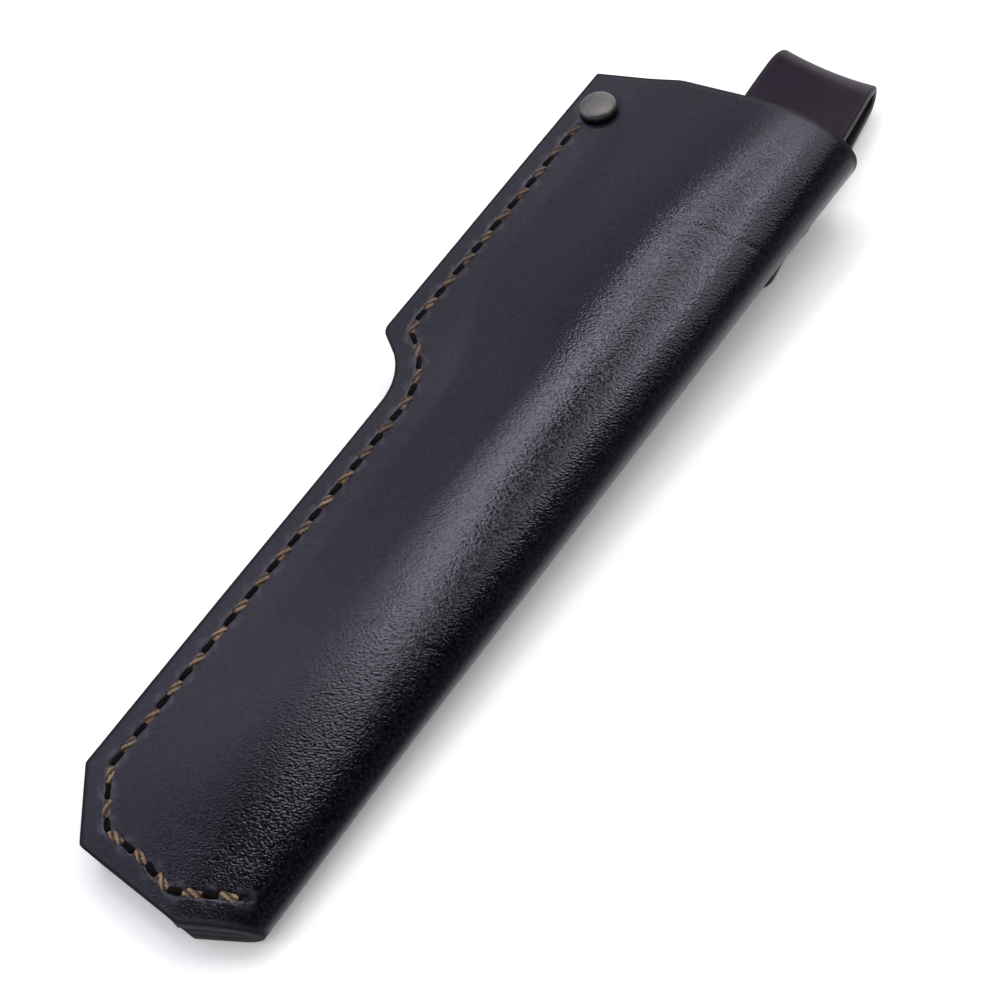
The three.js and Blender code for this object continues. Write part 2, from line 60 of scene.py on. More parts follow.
# %% From flat millimetres to the table
EDGE_HALF = 5.2  # half the thickness of the stitched edge
STEP_WIDTH = 11.7  # how far the handle part stands out past the blade part
LOOP_DROP, LOOP_WAY = 13.2, 214.3  # the loop's resting line: how far below the tip, and how far along
LIE = np.arctan2(LOOP_DROP, LOOP_WAY)
TURN = np.array([[1, 0, 0], [0, np.cos(LIE), -np.sin(LIE)], [0, np.sin(LIE), np.cos(LIE)]])
low_corner = 1000 * np.array(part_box("leather_body")[0])
SHIFT = low_corner + [STEP_WIDTH, EDGE_HALF * np.sin(LIE), EDGE_HALF * np.cos(LIE)]


def lay(points):
    """Flat millimetres to metres on the table: the points are turned by LIE about x, then shifted."""
    return (points @ TURN.T + SHIFT) / 1000


print("tipped by", round(np.degrees(LIE), 2), "degrees, shifted by", np.round(SHIFT, 2).tolist())

# %% [markdown]
# ## Camera
# The photograph looks down on the sheath from beyond its tip, from the fold's side, with the
# camera rolled a little. It could be aimed by hand or by a constraint. Three directions at right
# angles, worked out from a place, a point to look at and a roll, are exact and easy to check.

# %% Camera at the photograph's view
CAMERA_PLACE = np.array([0.1738, -0.1545, 0.3080])
CAMERA_AIM = np.array([0.0165, -0.0221, 0.0169])
CAMERA_ROLL = np.radians(-16.19)
ahead = (CAMERA_AIM - CAMERA_PLACE) / np.linalg.norm(CAMERA_AIM - CAMERA_PLACE)
level = np.cross(ahead, [0, 0, 1])
level /= np.linalg.norm(level)
above = np.cross(level, ahead)
to_right = np.cos(CAMERA_ROLL) * level + np.sin(CAMERA_ROLL) * above
to_top = np.cos(CAMERA_ROLL) * above - np.sin(CAMERA_ROLL) * level
view = np.eye(4)
view[:3] = np.stack([to_right, to_top, -ahead, CAMERA_PLACE], axis=1)
camera = bpy.data.objects.new("camera", bpy.data.cameras.new("camera"))
camera.data.sensor_width = 36
camera.data.lens = 61.2
camera.data.clip_start = 0.01
camera.matrix_world = Matrix(view.tolist())
bpy.context.collection.objects.link(camera)
bpy.context.scene.camera = camera
print("camera", round(float(np.linalg.norm(CAMERA_AIM - CAMERA_PLACE)), 3), "m from its aim")

# %% [markdown]
# ## Cutting pattern
# The leather is cut to a pattern of straight runs with rounded corners. The same list of corners
# serves for the cut edge, for the stitch line and for the welt: each is the pattern moved
# inwards. A corner is rounded by a short curve between two points on its sides, which needs no
# circle centres and works for outer and hollow corners alike.

# %% Corners of the cut edge: x, y and radius
LENGTH = 223.3
BLADE_WIDTH = 52.8
SLOPE_X, MOUTH_SIDE_Y = 8.8, 217.0  # inner and outer end of the mouth's slope
STEP_FOOT_Y = 123.0
CHAMFER_RISE, CHAMFER_RUN = 7.7, 13.9  # size of the corner cut off at the fold
CUT_EDGE = np.array([
    [SLOPE_X, LENGTH, 1.0],  # where the mouth starts to slope
    [-STEP_WIDTH, MOUTH_SIDE_Y, 1.0],  # mouth corner beside the rivet
    [-STEP_WIDTH, 129.9, 3.5],  # head of the step
    [0.0, STEP_FOOT_Y, 16.7],  # foot of the step
    [0.0, 14.4, 1.2],  # corner cut off the tip
    [11.2, 0.8, 1.2],
    [38.9, 0.0, 1.2],  # corner cut off at the fold
    [BLADE_WIDTH, CHAMFER_RISE, 0.0],
])


def inset(corners, distance, least):
    """Corners moved inwards: p + d (n1 + n2) / (1 + n1.n2), where n1 and n2 are the inward
    normals of the two sides. Hollow corners grow by d in radius, outer ones shrink to least."""
    run = np.diff(corners[:, :2], axis=0)
    run /= np.linalg.norm(run, axis=1, keepdims=True)
    inward = np.stack([-run[:, 1], run[:, 0]], axis=1)
    one, two = np.vstack([inward[:1], inward]), np.vstack([inward, inward[-1:]])
    moved = corners.copy()
    moved[:, :2] += distance * (one + two) / (1 + (one * two).sum(1, keepdims=True))
    bend = np.r_[0, run[:-1, 0] * run[1:, 1] - run[:-1, 1] * run[1:, 0], 0]
    shrunk = np.maximum(corners[:, 2] - distance, least)
    moved[:, 2] = np.where(bend < 0, corners[:, 2] + distance, shrunk)
    return moved


def rounded(corners):
    """Line through the corners, each one rounded by (1-u)^2 a + 2u(1-u) b + u^2 c between a point
    before it and a point after it, radius / tan(half the corner's angle) away."""
    place, run = corners[:, :2], np.diff(corners[:, :2], axis=0)
    length = np.linalg.norm(run, axis=1)
    run /= length[:, None]
    angle = np.arccos(np.clip(-(run[:-1] * run[1:]).sum(1), -1, 1))
    reach = np.r_[0, corners[1:-1, 2] / np.tan(angle / 2), 0]
    room = np.minimum(1, 0.98 * length / np.maximum(reach[:-1] + reach[1:], 1e-9))
    reach = (reach * np.minimum(np.r_[1, room], np.r_[room, 1]))[:, None, None]
    u = np.linspace(0, 1, 13)[None, :, None]
    before = place[:, None] - reach * np.vstack([run[:1], run])[:, None]
    after = place[:, None] + reach * np.vstack([run, run[-1:]])[:, None]
    line = ((1 - u) ** 2 * before + 2 * u * (1 - u) * place[:, None] + u**2 * after).reshape(-1, 2)
    return line[np.r_[True, np.linalg.norm(np.diff(line, axis=0), axis=1) > 1e-6]]


def measure(line):
    """Distance walked along a line at each of its points."""
    return np.r_[0, np.cumsum(np.linalg.norm(np.diff(line, axis=0), axis=1))]


def walk(line, distances):
    """Points of a line at the given distances along it."""
    walked = measure(line)
    return np.stack([np.interp(distances, walked, axis) for axis in line.T], axis=1)


print("cut edge from mouth to fold:", round(measure(rounded(CUT_EDGE))[-1], 1), "mm")

# %% [markdown]
# ## Swell of the pocket
# The knife makes room for itself: the front wall rises from the flat stitched band towards the
# fold, more and more towards the mouth, and the back wall bulges less. The front turns over into
# the fold by a long quarter ellipse, a soft shoulder, and the back by a quarter circle. It could
# be sculpted, but heights as functions of x and y describe all of it, and any point can ask for
# the height under it.

# %% Heights of the two walls
FRONT_SWELL, BACK_SWELL = 4.5, 3.4  # how much the walls stand out at the mouth
SWELL_START, BACK_FULL_Y = 16.2, 150.0  # where the swell starts, and where the back has all of it
FOLD_FLARE = 3.4  # how much wider the sheath is at the mouth
SHOULDER, SHOULDER_GROWN_Y = 25.0, 50.0  # width of the front's turn, and where it is reached
SHOULDER_LOSS, LOSS_FROM_Y = 7.0, 175.0  # what the turn loses towards the mouth, and from where
WELT_WIDTH = 11.0
BACK_SLOPE = 15.0  # width over which the back wall leaves the stitched band


def ease(t):
    """Smooth step 3t^2 - 2t^3, level at both ends."""
    t = np.clip(t, 0, 1)
    return t * t * (3 - 2 * t)


def front_crest(y):
    """Height of the front wall where the fold begins: straight rise towards the mouth."""
    return EDGE_HALF + FRONT_SWELL * np.maximum(0, (y - SWELL_START) / (LENGTH - SWELL_START))


def back_crest(y):
    """Depth of the back wall: an eased bulge, level from BACK_FULL_Y on."""
    return EDGE_HALF + BACK_SWELL * ease((y - SWELL_START) / (BACK_FULL_Y - SWELL_START))


def fold_size(y):
    """Radius of the fold and height of its middle: half the sum and half the difference of the two
    crests."""
    return (front_crest(y) + back_crest(y)) / 2, (front_crest(y) - back_crest(y)) / 2


def fold_outside(y):
    """Outermost x of the fold: the width plus a flare that grows with the square of y."""
    return BLADE_WIDTH + FOLD_FLARE * (np.maximum(y, 0) / LENGTH) ** 2


def shoulder_length(y):
    """Width of the front's turn: 0.7 of it at the tip, all of it from SHOULDER_GROWN_Y on, and
    SHOULDER_LOSS less at the mouth."""
    full = SHOULDER - SHOULDER_LOSS * ease((y - LOSS_FROM_Y) / (LENGTH - LOSS_FROM_Y))
    return full * (0.7 + 0.3 * ease(y / SHOULDER_GROWN_Y))


def turn_angle(x, y):
    """How far the front wall still has to turn at x: a right angle before the shoulder, then the
    arc cosine of the share of the shoulder that is done, down to nothing at the outermost x."""
    return np.arccos(np.clip(1 - (fold_outside(y) - x) / shoulder_length(y), 0, 1))


def band_edge(y):
    """Inner edge of the flat stitched band, which follows the step a little above it."""
    return WELT_WIDTH - STEP_WIDTH * ease((y - STEP_FOOT_Y) / (2 * STEP_WIDTH + WELT_WIDTH))


def front_height(x, y):
    """Front wall: eased rise from the band to where the shoulder begins, then the quarter ellipse
    middle + radius * sin(turn angle) over the shoulder's length."""
    radius, middle = fold_size(y)
    start = fold_outside(y) - shoulder_length(y)
    rise = EDGE_HALF + (front_crest(y) - EDGE_HALF) * ease((x - band_edge(y)) / (start - band_edge(y)))
    return np.where(x < start, rise, middle + radius * np.sin(turn_angle(x, y)))


def back_height(x, y):
    """Back wall: eased drop beside the band, BACK_SLOPE wide, then level."""
    return -EDGE_HALF - (back_crest(y) - EDGE_HALF) * ease((x - band_edge(y)) / BACK_SLOPE)


print("fold's radius and middle at the mouth:", np.round(fold_size(LENGTH), 2).tolist())

# %% [markdown]
# ## Rows from the cut edge to the fold
# The body is described by rows. Each row starts on the cut edge, runs straight to the fold, goes
# round it and comes back to the cut edge on the other face. The first row is the mouth, and the
# last one is the corner cut off at the fold, so all four sides of the grid are cut leather. An
# outline filled with faces could be bent too, but rows that fan out round the tip keep every face
# four-sided, and the leather turns along them.

# %% Starts and ends of the rows
ROWS = 441
ARRIS = 0.4  # round of the leather's cut edges
CHAMFER = CHAMFER_RISE / CHAMFER_RUN
edge_line = rounded(inset(CUT_EDGE, ARRIS, least=0.4)[1:-1])
edge_way = np.linspace(0, measure(edge_line)[-1], ROWS)
row_start = walk(edge_line, edge_way)
TIP_PART = 40.0  # below this height the rows fan out round the tip
fan_from = np.interp(-TIP_PART, -row_start[:, 1], edge_way)
fan = np.clip((edge_way - fan_from) / (edge_way[-1] - fan_from), 0, 1)
TIP_TURN = 9.0  # length of the turned part at the tip, short of the corner cut off there
fold_low = row_start[-1, 1] + CHAMFER * (BLADE_WIDTH - TIP_TURN - row_start[-1, 0])
# A cubic curve from the straight side's height to fold_low, with a slope for each of its ends
fan_height = (
    (2 * fan**3 - 3 * fan**2 + 1) * TIP_PART
    - (fan**3 - 2 * fan**2 + fan) * (edge_way[-1] - fan_from)
    + (3 * fan**2 - 2 * fan**3) * fold_low
    - (fan**3 - fan**2) * 1.5 * (TIP_PART - fold_low)
)
mouth_low = row_start[0, 1]
CLIMB_FROM_Y = 150.0  # from here up the rows climb towards the mouth's higher end at the fold
climb = ease((row_start[:, 1] - CLIMB_FROM_Y) / (mouth_low - CLIMB_FROM_Y))
side_height = row_start[:, 1] + (LENGTH - ARRIS - mouth_low) * climb
fold_y = np.where(fan > 0, fan_height, side_height)
radius, middle = fold_size(fold_y)
outside, shoulder = fold_outside(fold_y), shoulder_length(fold_y)
LEAN_FADE = 25.0  # length over which the rows stop leaning with the corner cut off at the fold
lean = CHAMFER * ease(1 - (fold_y - fold_low) / LEAN_FADE)
turn_span = np.minimum(shoulder, TIP_TURN + 0.5 * (fold_y - fold_low))
front_end = np.stack([outside - turn_span, fold_y], axis=1)
back_end = np.stack([outside - radius, fold_y + lean * (turn_span - radius)], axis=1)
front_span = np.linalg.norm(front_end - row_start, axis=1)
print(ROWS, "rows,", round(front_span.min(), 1), "to", round(front_span.max(), 1), "mm long on the front")

# %% Plan of the rows
MOUTH_SLOPE = (LENGTH - MOUTH_SIDE_Y) / (SLOPE_X + STEP_WIDTH)
MOUTH_PART = 32.0  # length of edge over which the rows bend to the mouth's cut
STITCHED_BAND = 12.0


def mouth_cut(x):
    """Height of the mouth's cut: the lower of a slope up from the rivet's corner and a square end,
    softened by square - ln(1 + exp(4 (square - slope))) / 4."""
    slope = mouth_low + MOUTH_SLOPE * (x - row_start[0, 0])
    square = LENGTH - ARRIS
    return square - np.log1p(np.exp(np.minimum(4 * (square - slope), 60))) / 4


def across(row_end, reach):
    """Plan points at the given distances along each row, bent near the mouth to follow its cut."""
    heading = (row_end - row_start) / np.linalg.norm(row_end - row_start, axis=1, keepdims=True)
    plan = row_start[:, None] + reach[..., None] * heading[:, None]
    chord = mouth_low + (plan[..., 0] - row_start[0, 0]) * heading[0, 1] / heading[0, 0]
    near_mouth = ease(1 - edge_way / MOUTH_PART)[:, None]
    plan[..., 1] += (mouth_cut(plan[..., 0]) - chord) * near_mouth
    return plan


def spaced(row_end, fine, coarse):
    """Distances along every row: fine steps in the stitched band, coarse ones from there to the fold."""
    length = np.linalg.norm(row_end - row_start, axis=1)[:, None]
    band = np.minimum(STITCHED_BAND, 0.7 * length)
    rest = np.linspace(0, 1, coarse + 1)[1:]
    return np.hstack([band * np.linspace(0, 1, fine), band + (length - band) * rest])


front_reach, back_reach = spaced(front_end, fine=33, coarse=36), spaced(back_end, fine=25, coarse=18)
print("columns on the front:", front_reach.shape[1], "and on the back:", back_reach.shape[1])

# %% [markdown]
# ## The body's face
# Front, fold and back are joined column by column into one grid of points, and the cross product
# of the steps along the grid gives the way the leather faces at every point: small marks push
# the surface in along it. The wall's thickness is laid off straight down on the front, straight up
# on the back and by the angle of the turn round the fold, so that the inner face never crosses
# itself. At the tip it leans with the corner cut off there, so that the cut stays flat.

# %% Grid of the outer face
SHOULDER_STEPS, BACK_STEPS = 28, 12  # columns round the fold, before and after its outermost line
front_plan, back_plan = across(front_end, front_reach), across(back_end, back_reach)[:, -2::-1]
front_z = front_height(front_plan[..., 0], front_plan[..., 1])
back_z = back_height(back_plan[..., 0], back_plan[..., 1])
swing = np.hstack([
    np.arccos(1 - turn_span / shoulder)[:, None] * np.linspace(1, 0, SHOULDER_STEPS + 1)[1:],
    np.tile(np.linspace(0, -np.pi / 2, BACK_STEPS + 1)[1:], (ROWS, 1)),
])
reach = np.where(swing > 0, shoulder[:, None], radius[:, None])
fold_x = outside[:, None] - reach * (1 - np.cos(swing))
fold_grid = np.stack([
    fold_x,
    fold_y[:, None] + lean[:, None] * (fold_x - front_end[:, :1]),
    middle[:, None] + radius[:, None] * np.sin(swing),
], axis=-1)
body_face = np.concatenate([
    np.concatenate([front_plan, front_z[..., None]], axis=-1),
    fold_grid,
    np.concatenate([back_plan, back_z[..., None]], axis=-1),
], axis=1)


def facing(grid):
    """Unit normals of a grid: step down the rows crossed with step along the columns."""
    normal = np.cross(np.gradient(grid, axis=0), np.gradient(grid, axis=1))
    return normal / np.linalg.norm(normal, axis=-1, keepdims=True)


body_out = facing(body_face)
front_turn = turn_angle(front_plan[..., 0], front_plan[..., 1])
wall_turn = np.hstack([front_turn, swing, np.full(back_z.shape, -np.pi / 2)])
inwards = np.cos(wall_turn)
wall_out = np.stack([inwards, lean[:, None] * inwards, np.sin(wall_turn)], axis=-1)
print("body grid:", body_face.shape[:2], "faces up by", round(float(body_out[ROWS // 2, 0, 2]), 3))

# %% [markdown]
# ## Stitch line
# The maker scores a groove some five millimetres inside the edge and pricks slanting slits into it,
# seven to the inch. Slits could be set one by one. Here the line is the pattern moved inwards, so it
# keeps its distance, and the slits are equal steps along it, with one short step more at the fold,
# where the black thread ends.

# %% Groove and awl slits
RIVET = np.array([-4.4, 207.1])
EDGE_MARGIN = 5.4
PITCH = 3.63
SLIT_ANGLE = 1.31  # between the seam and a slit, in radians
seam_corners = inset(CUT_EDGE[1:], EDGE_MARGIN, least=2.4)
seam_corners[0, 1] = RIVET[1] - 6.0  # the last slit, just clear of the rivet
seam_corners[-2, :2] = [33.8, 3.9]  # where it turns along the corner cut off at the fold
seam_corners[-1, 0] = 45.6  # where its equal steps begin, near the fold
seam_corners[-1, 1] = seam_corners[-2, 1] + CHAMFER * (seam_corners[-1, 0] - seam_corners[-2, 0])
seam_corners = np.insert(seam_corners, -2, [24.0, 6.0, 8.0], axis=0)  # a soft bend along the tip
seam = rounded(seam_corners[::-1])
seam_length = measure(seam)[-1]
STITCHES = round(seam_length / PITCH)
slit_way = np.linspace(0, seam_length, STITCHES + 1)
slits = walk(seam, slit_way)
seam_heading = walk(seam, slit_way + 0.05) - walk(seam, slit_way - 0.05)
seam_heading /= np.linalg.norm(seam_heading, axis=1, keepdims=True)
slit_angle = np.arctan2(seam_heading[:, 1], seam_heading[:, 0]) + SLIT_ANGLE
slit_slant = np.stack([np.cos(slit_angle), np.sin(slit_angle)], axis=1)
LAST_STITCH = 2.5
slits = np.vstack([slits[0] - LAST_STITCH * seam_heading[0], slits])
slit_way = np.r_[-LAST_STITCH, slit_way]
seam_heading, slit_slant = (np.vstack([each[:1], each]) for each in (seam_heading, slit_slant))
STITCHES += 1
print(STITCHES, "stitches on", round(seam_length + LAST_STITCH, 1), "mm")

# %% [markdown]
# ## Marks in the leather
# Handwork leaves small traces: the groove, a dent at each slit, the ring that the rivet pressed in,
# two creases and a slight unevenness. They could be carved with a brush. As bumps and hollows of
# bell shape they only need each point's distance from the mark, and can be added up and applied
# along the face's direction.

# %% Distances from the seam and its slits
FAR_OFF = 99.0
FRONT_BAND, BACK_BAND = 36, 28  # columns that reach over the stitched band on each face
TIP_FAN = 0.4  # from here on the rows of the tip lie near the seam with all their columns
face_x, face_y = body_face[..., 0], body_face[..., 1]
columns = np.arange(body_face.shape[1])
in_band = (columns < FRONT_BAND) | (columns >= len(columns) - BACK_BAND) | (fan[:, None] > TIP_FAN)
band_x, band_y = face_x[in_band], face_y[in_band]


def distance_to(line, x, y):
    """Least distance of each point from a line: the point is dropped onto every short run of the
    line, no further than the run's ends, and the nearest drop counts."""
    start, run = line[:-1], np.diff(line, axis=0)
    dx, dy = x[..., None] - start[:, 0], y[..., None] - start[:, 1]
    t = np.clip((dx * run[:, 0] + dy * run[:, 1]) / (run**2).sum(1), 0, 1)
    return np.sqrt(((dx - t * run[:, 0]) ** 2 + (dy - t * run[:, 1]) ** 2).min(-1))


def band_gap(spots):
    """Distance of each point in the stitched band from the nearest spot, and FAR_OFF elsewhere."""
    gap = np.full(face_x.shape, FAR_OFF)
    gap[in_band] = np.hypot(band_x[:, None] - spots[:, 0], band_y[:, None] - spots[:, 1]).min(-1)
    return gap


seam_gap = np.full(face_x.shape, FAR_OFF)
seam_gap[in_band] = distance_to(walk(seam, np.linspace(0, seam_length, 240)), band_x, band_y)
slit_gap = band_gap(slits)
scuff_gap = band_gap((slits[:-1:2] + slits[1::2]) / 2)  # from the middles of the black stitches
print(int(in_band.sum()), "points lie near the seam")


# %% Depth of the marks
def bell(distance, width):
    """Bell curve exp(-(d / w)^2): 1 on the mark and nothing a few widths away."""
    return np.exp(-((distance / width) ** 2))


on_front = columns < front_reach.shape[1] + SHOULDER_STEPS
groove_depth = np.where(on_front, 0.3, 1.0)
rivet_gap = np.hypot(face_x - RIVET[0], face_y - RIVET[1])
crease_long = np.array([[28.8, 183.9], [41.0, 185.4], [53.5, 188.4]])
crease_short = np.array([[44.5, 70.6], [49.0, 72.4]])
crease_gap = np.full(face_x.shape, FAR_OFF)
crease_gap[:, on_front] = np.minimum(
    distance_to(crease_long, face_x[:, on_front], face_y[:, on_front]),
    distance_to(crease_short, face_x[:, on_front], face_y[:, on_front]) * 1.4,  # so it is narrower
)
wave = np.sin(face_x / 9.3 + 1.2) * np.sin(face_y / 17.1) + np.sin(face_x / 6.1 - face_y / 11.7 + 0.6)
marks = (
    -groove_depth * bell(seam_gap, 0.5)
    - 0.25 * bell(slit_gap, 0.5)
    - 0.2 * bell(rivet_gap - 4.2, 1.0)  # ring under the cap's rim
    - 0.08 * bell(crease_gap, 0.5)
    + 0.05 * wave
)
body_marked = body_face + marks[..., None] * body_out
print("deepest mark", round(float(marks.min()), 2), "mm")

# %% [markdown]
# ## Closing a sheet of leather
# A sheet has a grain face, a flesh face and a cut edge that was rounded and burnished. Solidify
# and Bevel could give them, but they know nothing of the leaning cut at the tip. From the grain
# face's grid and its directions the rest follows as well: rings round the rim turn the edge over,
# and the flesh face lies one wall further in. The flesh face is seen only through the mouth, so
# it takes every second point, and a strip of triangles ties it to the last ring.

# %% Sheet helpers


def grid_faces(numbers):
    """Quads of a grid of vertex numbers, facing along the rows' step crossed with the columns' step."""
    corners = [numbers[:-1, :-1], numbers[1:, :-1], numbers[1:, 1:], numbers[:-1, 1:]]
    return np.stack(corners, axis=-1).reshape(-1, 4)


def rim_of(numbers):
    """Outer vertex numbers of a grid, once round."""
    return np.r_[numbers[0, :-1], numbers[:-1, -1], numbers[-1, :0:-1], numbers[:0:-1, 0]]


def sheet(face, shown, out, wall, arris, back_arris):
    """Closed sheet: the shown face, rings that turn over the rim by arris and by back_arris, and the
    flesh face at face - wall * out. Returns points, faces, and the points on the edge and inside."""
    numbers = np.arange(face[..., 0].size).reshape(face.shape[:2])
    rim = rim_of(numbers)
    edge, up = shown.reshape(-1, 3)[rim], out.reshape(-1, 3)[rim]
    away = np.cross(up, np.roll(edge, -1, axis=0) - np.roll(edge, 1, axis=0))
    away /= np.linalg.norm(away, axis=1, keepdims=True)
    turn = np.radians([25, 50, 75])
    reach = np.r_[arris * np.sin(turn), arris, arris, arris - 0.3 * back_arris, arris - back_arris]
    depth = np.r_[arris * (1 - np.cos(turn)), 0.45 * wall, wall - back_arris, wall - 0.3 * back_arris, wall]
    rings = edge + reach[:, None, None] * away - depth[:, None, None] * up
    flesh = (face - wall * out)[::2, ::2]
    ring_numbers = numbers.size + np.arange(rings[..., 0].size).reshape(rings.shape[:2])
    flesh_first = numbers.size + ring_numbers.size
    flesh_numbers = flesh_first + np.arange(flesh[..., 0].size).reshape(flesh.shape[:2])
    bands = np.vstack([rim, ring_numbers])
    beside = np.roll(bands, -1, axis=1)
    strip = np.stack([bands[:-1], beside[:-1], beside[1:], bands[1:]], axis=-1).reshape(-1, 4)
    last, inner = bands[-1], rim_of(flesh_numbers)
    a, b, c = last[0::2], last[1::2], np.roll(last[0::2], -1)
    d, e = inner, np.roll(inner, -1)
    ties = np.concatenate([np.stack(t, axis=1) for t in ([a, b, d], [b, e, d], [b, c, e])])
    quads = np.vstack([grid_faces(numbers), strip, grid_faces(flesh_numbers)[:, ::-1]])
    points = np.vstack([shown.reshape(-1, 3), rings.reshape(-1, 3), flesh.reshape(-1, 3)])
    on_edge = np.r_[np.zeros(numbers.size), np.ones(ring_numbers.size), np.zeros(flesh_numbers.size)]
    on_edge[rim] = 1
    inside = np.r_[np.zeros(flesh_first), np.ones(flesh_numbers.size)]
    return points, quads.tolist() + ties.tolist(), on_edge, inside


def make_piece(name, points, faces, slot, *nodes):
    """Puts points in flat millimetres and their faces into a smooth mesh that stands for the nodes."""
    mesh = bpy.data.meshes.new(name)
    mesh.from_pydata(lay(points).tolist(), [], faces)
    mesh.polygons.foreach_set("use_smooth", np.ones(len(mesh.polygons), dtype=bool))
    piece = bpy.data.objects.new(name, mesh)
    bpy.context.collection.objects.link(piece)
    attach(piece, "root")
    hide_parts(*nodes)
    print(name, len(mesh.vertices), "points,", sum(len(f) - 2 for f in faces), "triangles")
    return piece


def paint(piece, name, values):
    """Stores one number per point for the piece's finish to read."""
    layer = piece.data.attributes.new(name, "FLOAT", "POINT")
    layer.data.foreach_set("value", np.asarray(values, dtype=np.float32))


# %% [markdown]
# ## Folded body
# The marked grid becomes the body. Its finish has to know where the leather is cut, where it is
# rubbed pale beside the black stitches, and where it is stretched over the shoulder. Masks could be
# painted on an unwrapped picture. A number stored on each point needs neither, and fits the shape.

# %% Body and its cut edges
WALL = 3.3
FLESH_ARRIS = 0.12  # round of the edge on the flesh side
points, faces, on_edge, inside = sheet(body_face, body_marked, wall_out, WALL, ARRIS, FLESH_ARRIS)
body = make_piece("folded_body", points, faces, "body_leather", "leather_body")
face_count = face_x.size
to_mouth = mouth_cut(face_x) - face_y
to_side = np.hstack([front_reach, np.full(fold_grid.shape[:2], FAR_OFF), back_reach[:, -2::-1]])
to_chamfer = (face_y - row_start[-1, 1] - CHAMFER * (face_x - row_start[-1, 0])) / np.hypot(1, CHAMFER)
to_chamfer = np.where(face_x > 30, to_chamfer, FAR_OFF)  # it is on the fold's side of the tip only
to_cut = np.minimum(np.minimum(to_side, to_mouth), to_chamfer)
on_edge[:face_count] = np.maximum(bell(np.maximum(to_cut, 0), 0.65), bell(slit_gap, 0.6)).ravel()
paint(body, "cut_edge", on_edge)
paint(body, "flesh", inside)

# %% Rubbed and stretched leather
rubbed = np.zeros(len(points))
uneven = 0.5 + 0.5 * np.sin(1.7 * face_x + 0.9 * face_y) * np.sin(1.3 * face_y - 0.4 * face_x)
rubbed[:face_count] = (bell(scuff_gap - 1.7, 0.6) * uneven).ravel()  # a ring round each black stitch
paint(body, "rubbed", rubbed)
curved = np.zeros(len(points))
past_band = ease((face_x - band_edge(face_y) - 7) / 26)
before_rim = ease((wall_turn - 0.2) / 0.4)
off_cut = 0.4 + 0.6 * ease(to_cut / 16)
curved[:face_count] = (past_band * before_rim * off_cut).ravel()
paint(body, "curved", curved)
print("stretched part of the face:", round(float(curved[:face_count].mean()), 2))

# %% [markdown]
# ## Welt strip
# The welt lies between the two walls along the whole seam, so that the blade can't reach the
# thread. Only its burnished edge shows. It could be cut from a flat outline, but on the body's own
# rows its edge stays flush with the walls. It runs from the cut edge to a line eleven millimetres
# inside it, and at the tip it is pared down to a nose that fills the hollow of the fold.

# %% Welt
edge_heading = np.gradient(row_start, axis=0)
edge_heading /= np.linalg.norm(edge_heading, axis=1, keepdims=True)
back_span = np.linalg.norm(back_end - row_start, axis=1)
heading = (back_end - row_start) / back_span[:, None]
slant = np.abs(edge_heading[:, 0] * heading[:, 1] - edge_heading[:, 1] * heading[:, 0])
WELT_HALF = 1.87
nose = WELT_HALF / heading[:, 0]
welt_width = np.minimum((WELT_WIDTH - 2 * ARRIS) / np.maximum(slant, 0.05), back_span + 0.99 * nose)
welt_reach = welt_width[:, None] * np.sin(np.linspace(0, np.pi / 2, 33))
into_fold = np.clip((welt_reach - back_span[:, None]) / nose[:, None], 0, 1)
welt_plan = across(back_end, welt_reach)[::2]
outside, shoulder = fold_outside(welt_plan[..., 1]), shoulder_length(welt_plan[..., 1])
under_turn = np.clip(1 - (outside - WALL - welt_plan[..., 0]) / (shoulder - WALL), 0, 1)
welt_top = WELT_HALF * np.sqrt(1 - under_turn**2)[..., None]
welt_bottom = WELT_HALF * np.sqrt(1 - into_fold[::2, :, None] ** 2)
welt_face = np.concatenate([welt_plan, welt_top], axis=-1)
welt_out = np.concatenate([np.zeros_like(welt_plan), (welt_top + welt_bottom) / (2 * WELT_HALF)], axis=-1)
points, faces = sheet(welt_face, welt_face, welt_out, 2 * WELT_HALF, ARRIS, FLESH_ARRIS)[:2]
welt = make_piece("welt", points, faces, "welt_leather", "welt_strip")

# %% [markdown]
# ## Belt loop
# A strap of thinner leather is folded over at the top. Both ends lie on the back wall, held by
# two rivets, and the outer layer stands off so that a belt fits in. It could be a curve with a flat
# section, but its edges need their own places, so its profile is a line in y and z, carried across
# the strap's width, which flares towards the lower end on one side. Leather that is bent across
# can't stay straight along the bend, so the top is a slight saddle: the middle sags, and the left
# corner curls up.

# %% Strap profile and width
STRAP_WALL = 2.2
STRAP_ARRIS = 0.5
STRAP_LEFT, STRAP_RIGHT = 16.9, 51.5
TAIL_Y, TOP_Y = 189.3, 256.5
NEAR_Z, CLOSED_Z, FAR_Z = -8.8, -13.4, -18.4
BEND_END, BEND_TOP = 202.3, 214.3
TOP_ROUND = 8.0  # how far down the front layer the round top reaches
loop_radius = (NEAR_Z - FAR_Z) / 2
arc = np.linspace(np.pi / 2, -np.pi / 2, 33)
arc_reach = np.where(arc > 0, TOP_ROUND, loop_radius)
arc_y = TOP_Y - arc_reach + arc_reach * np.cos(arc)
arc_z = (NEAR_Z + FAR_Z) / 2 + loop_radius * np.sin(arc)
drop = np.linspace(0, 1, 25)
drop_y = BEND_TOP + (BEND_END - BEND_TOP) * drop
drop_z = FAR_Z + (CLOSED_Z - FAR_Z) * ease(drop)
tail = TAIL_Y + STRAP_ARRIS
profile = np.vstack([
    [[tail, NEAR_Z]],
    np.stack([arc_y, arc_z], axis=1),
    np.stack([drop_y, drop_z], axis=1),
    [[tail, CLOSED_Z]],
])
strap_way = np.linspace(0, measure(profile)[-1], 241)
strap_line = walk(profile, strap_way)
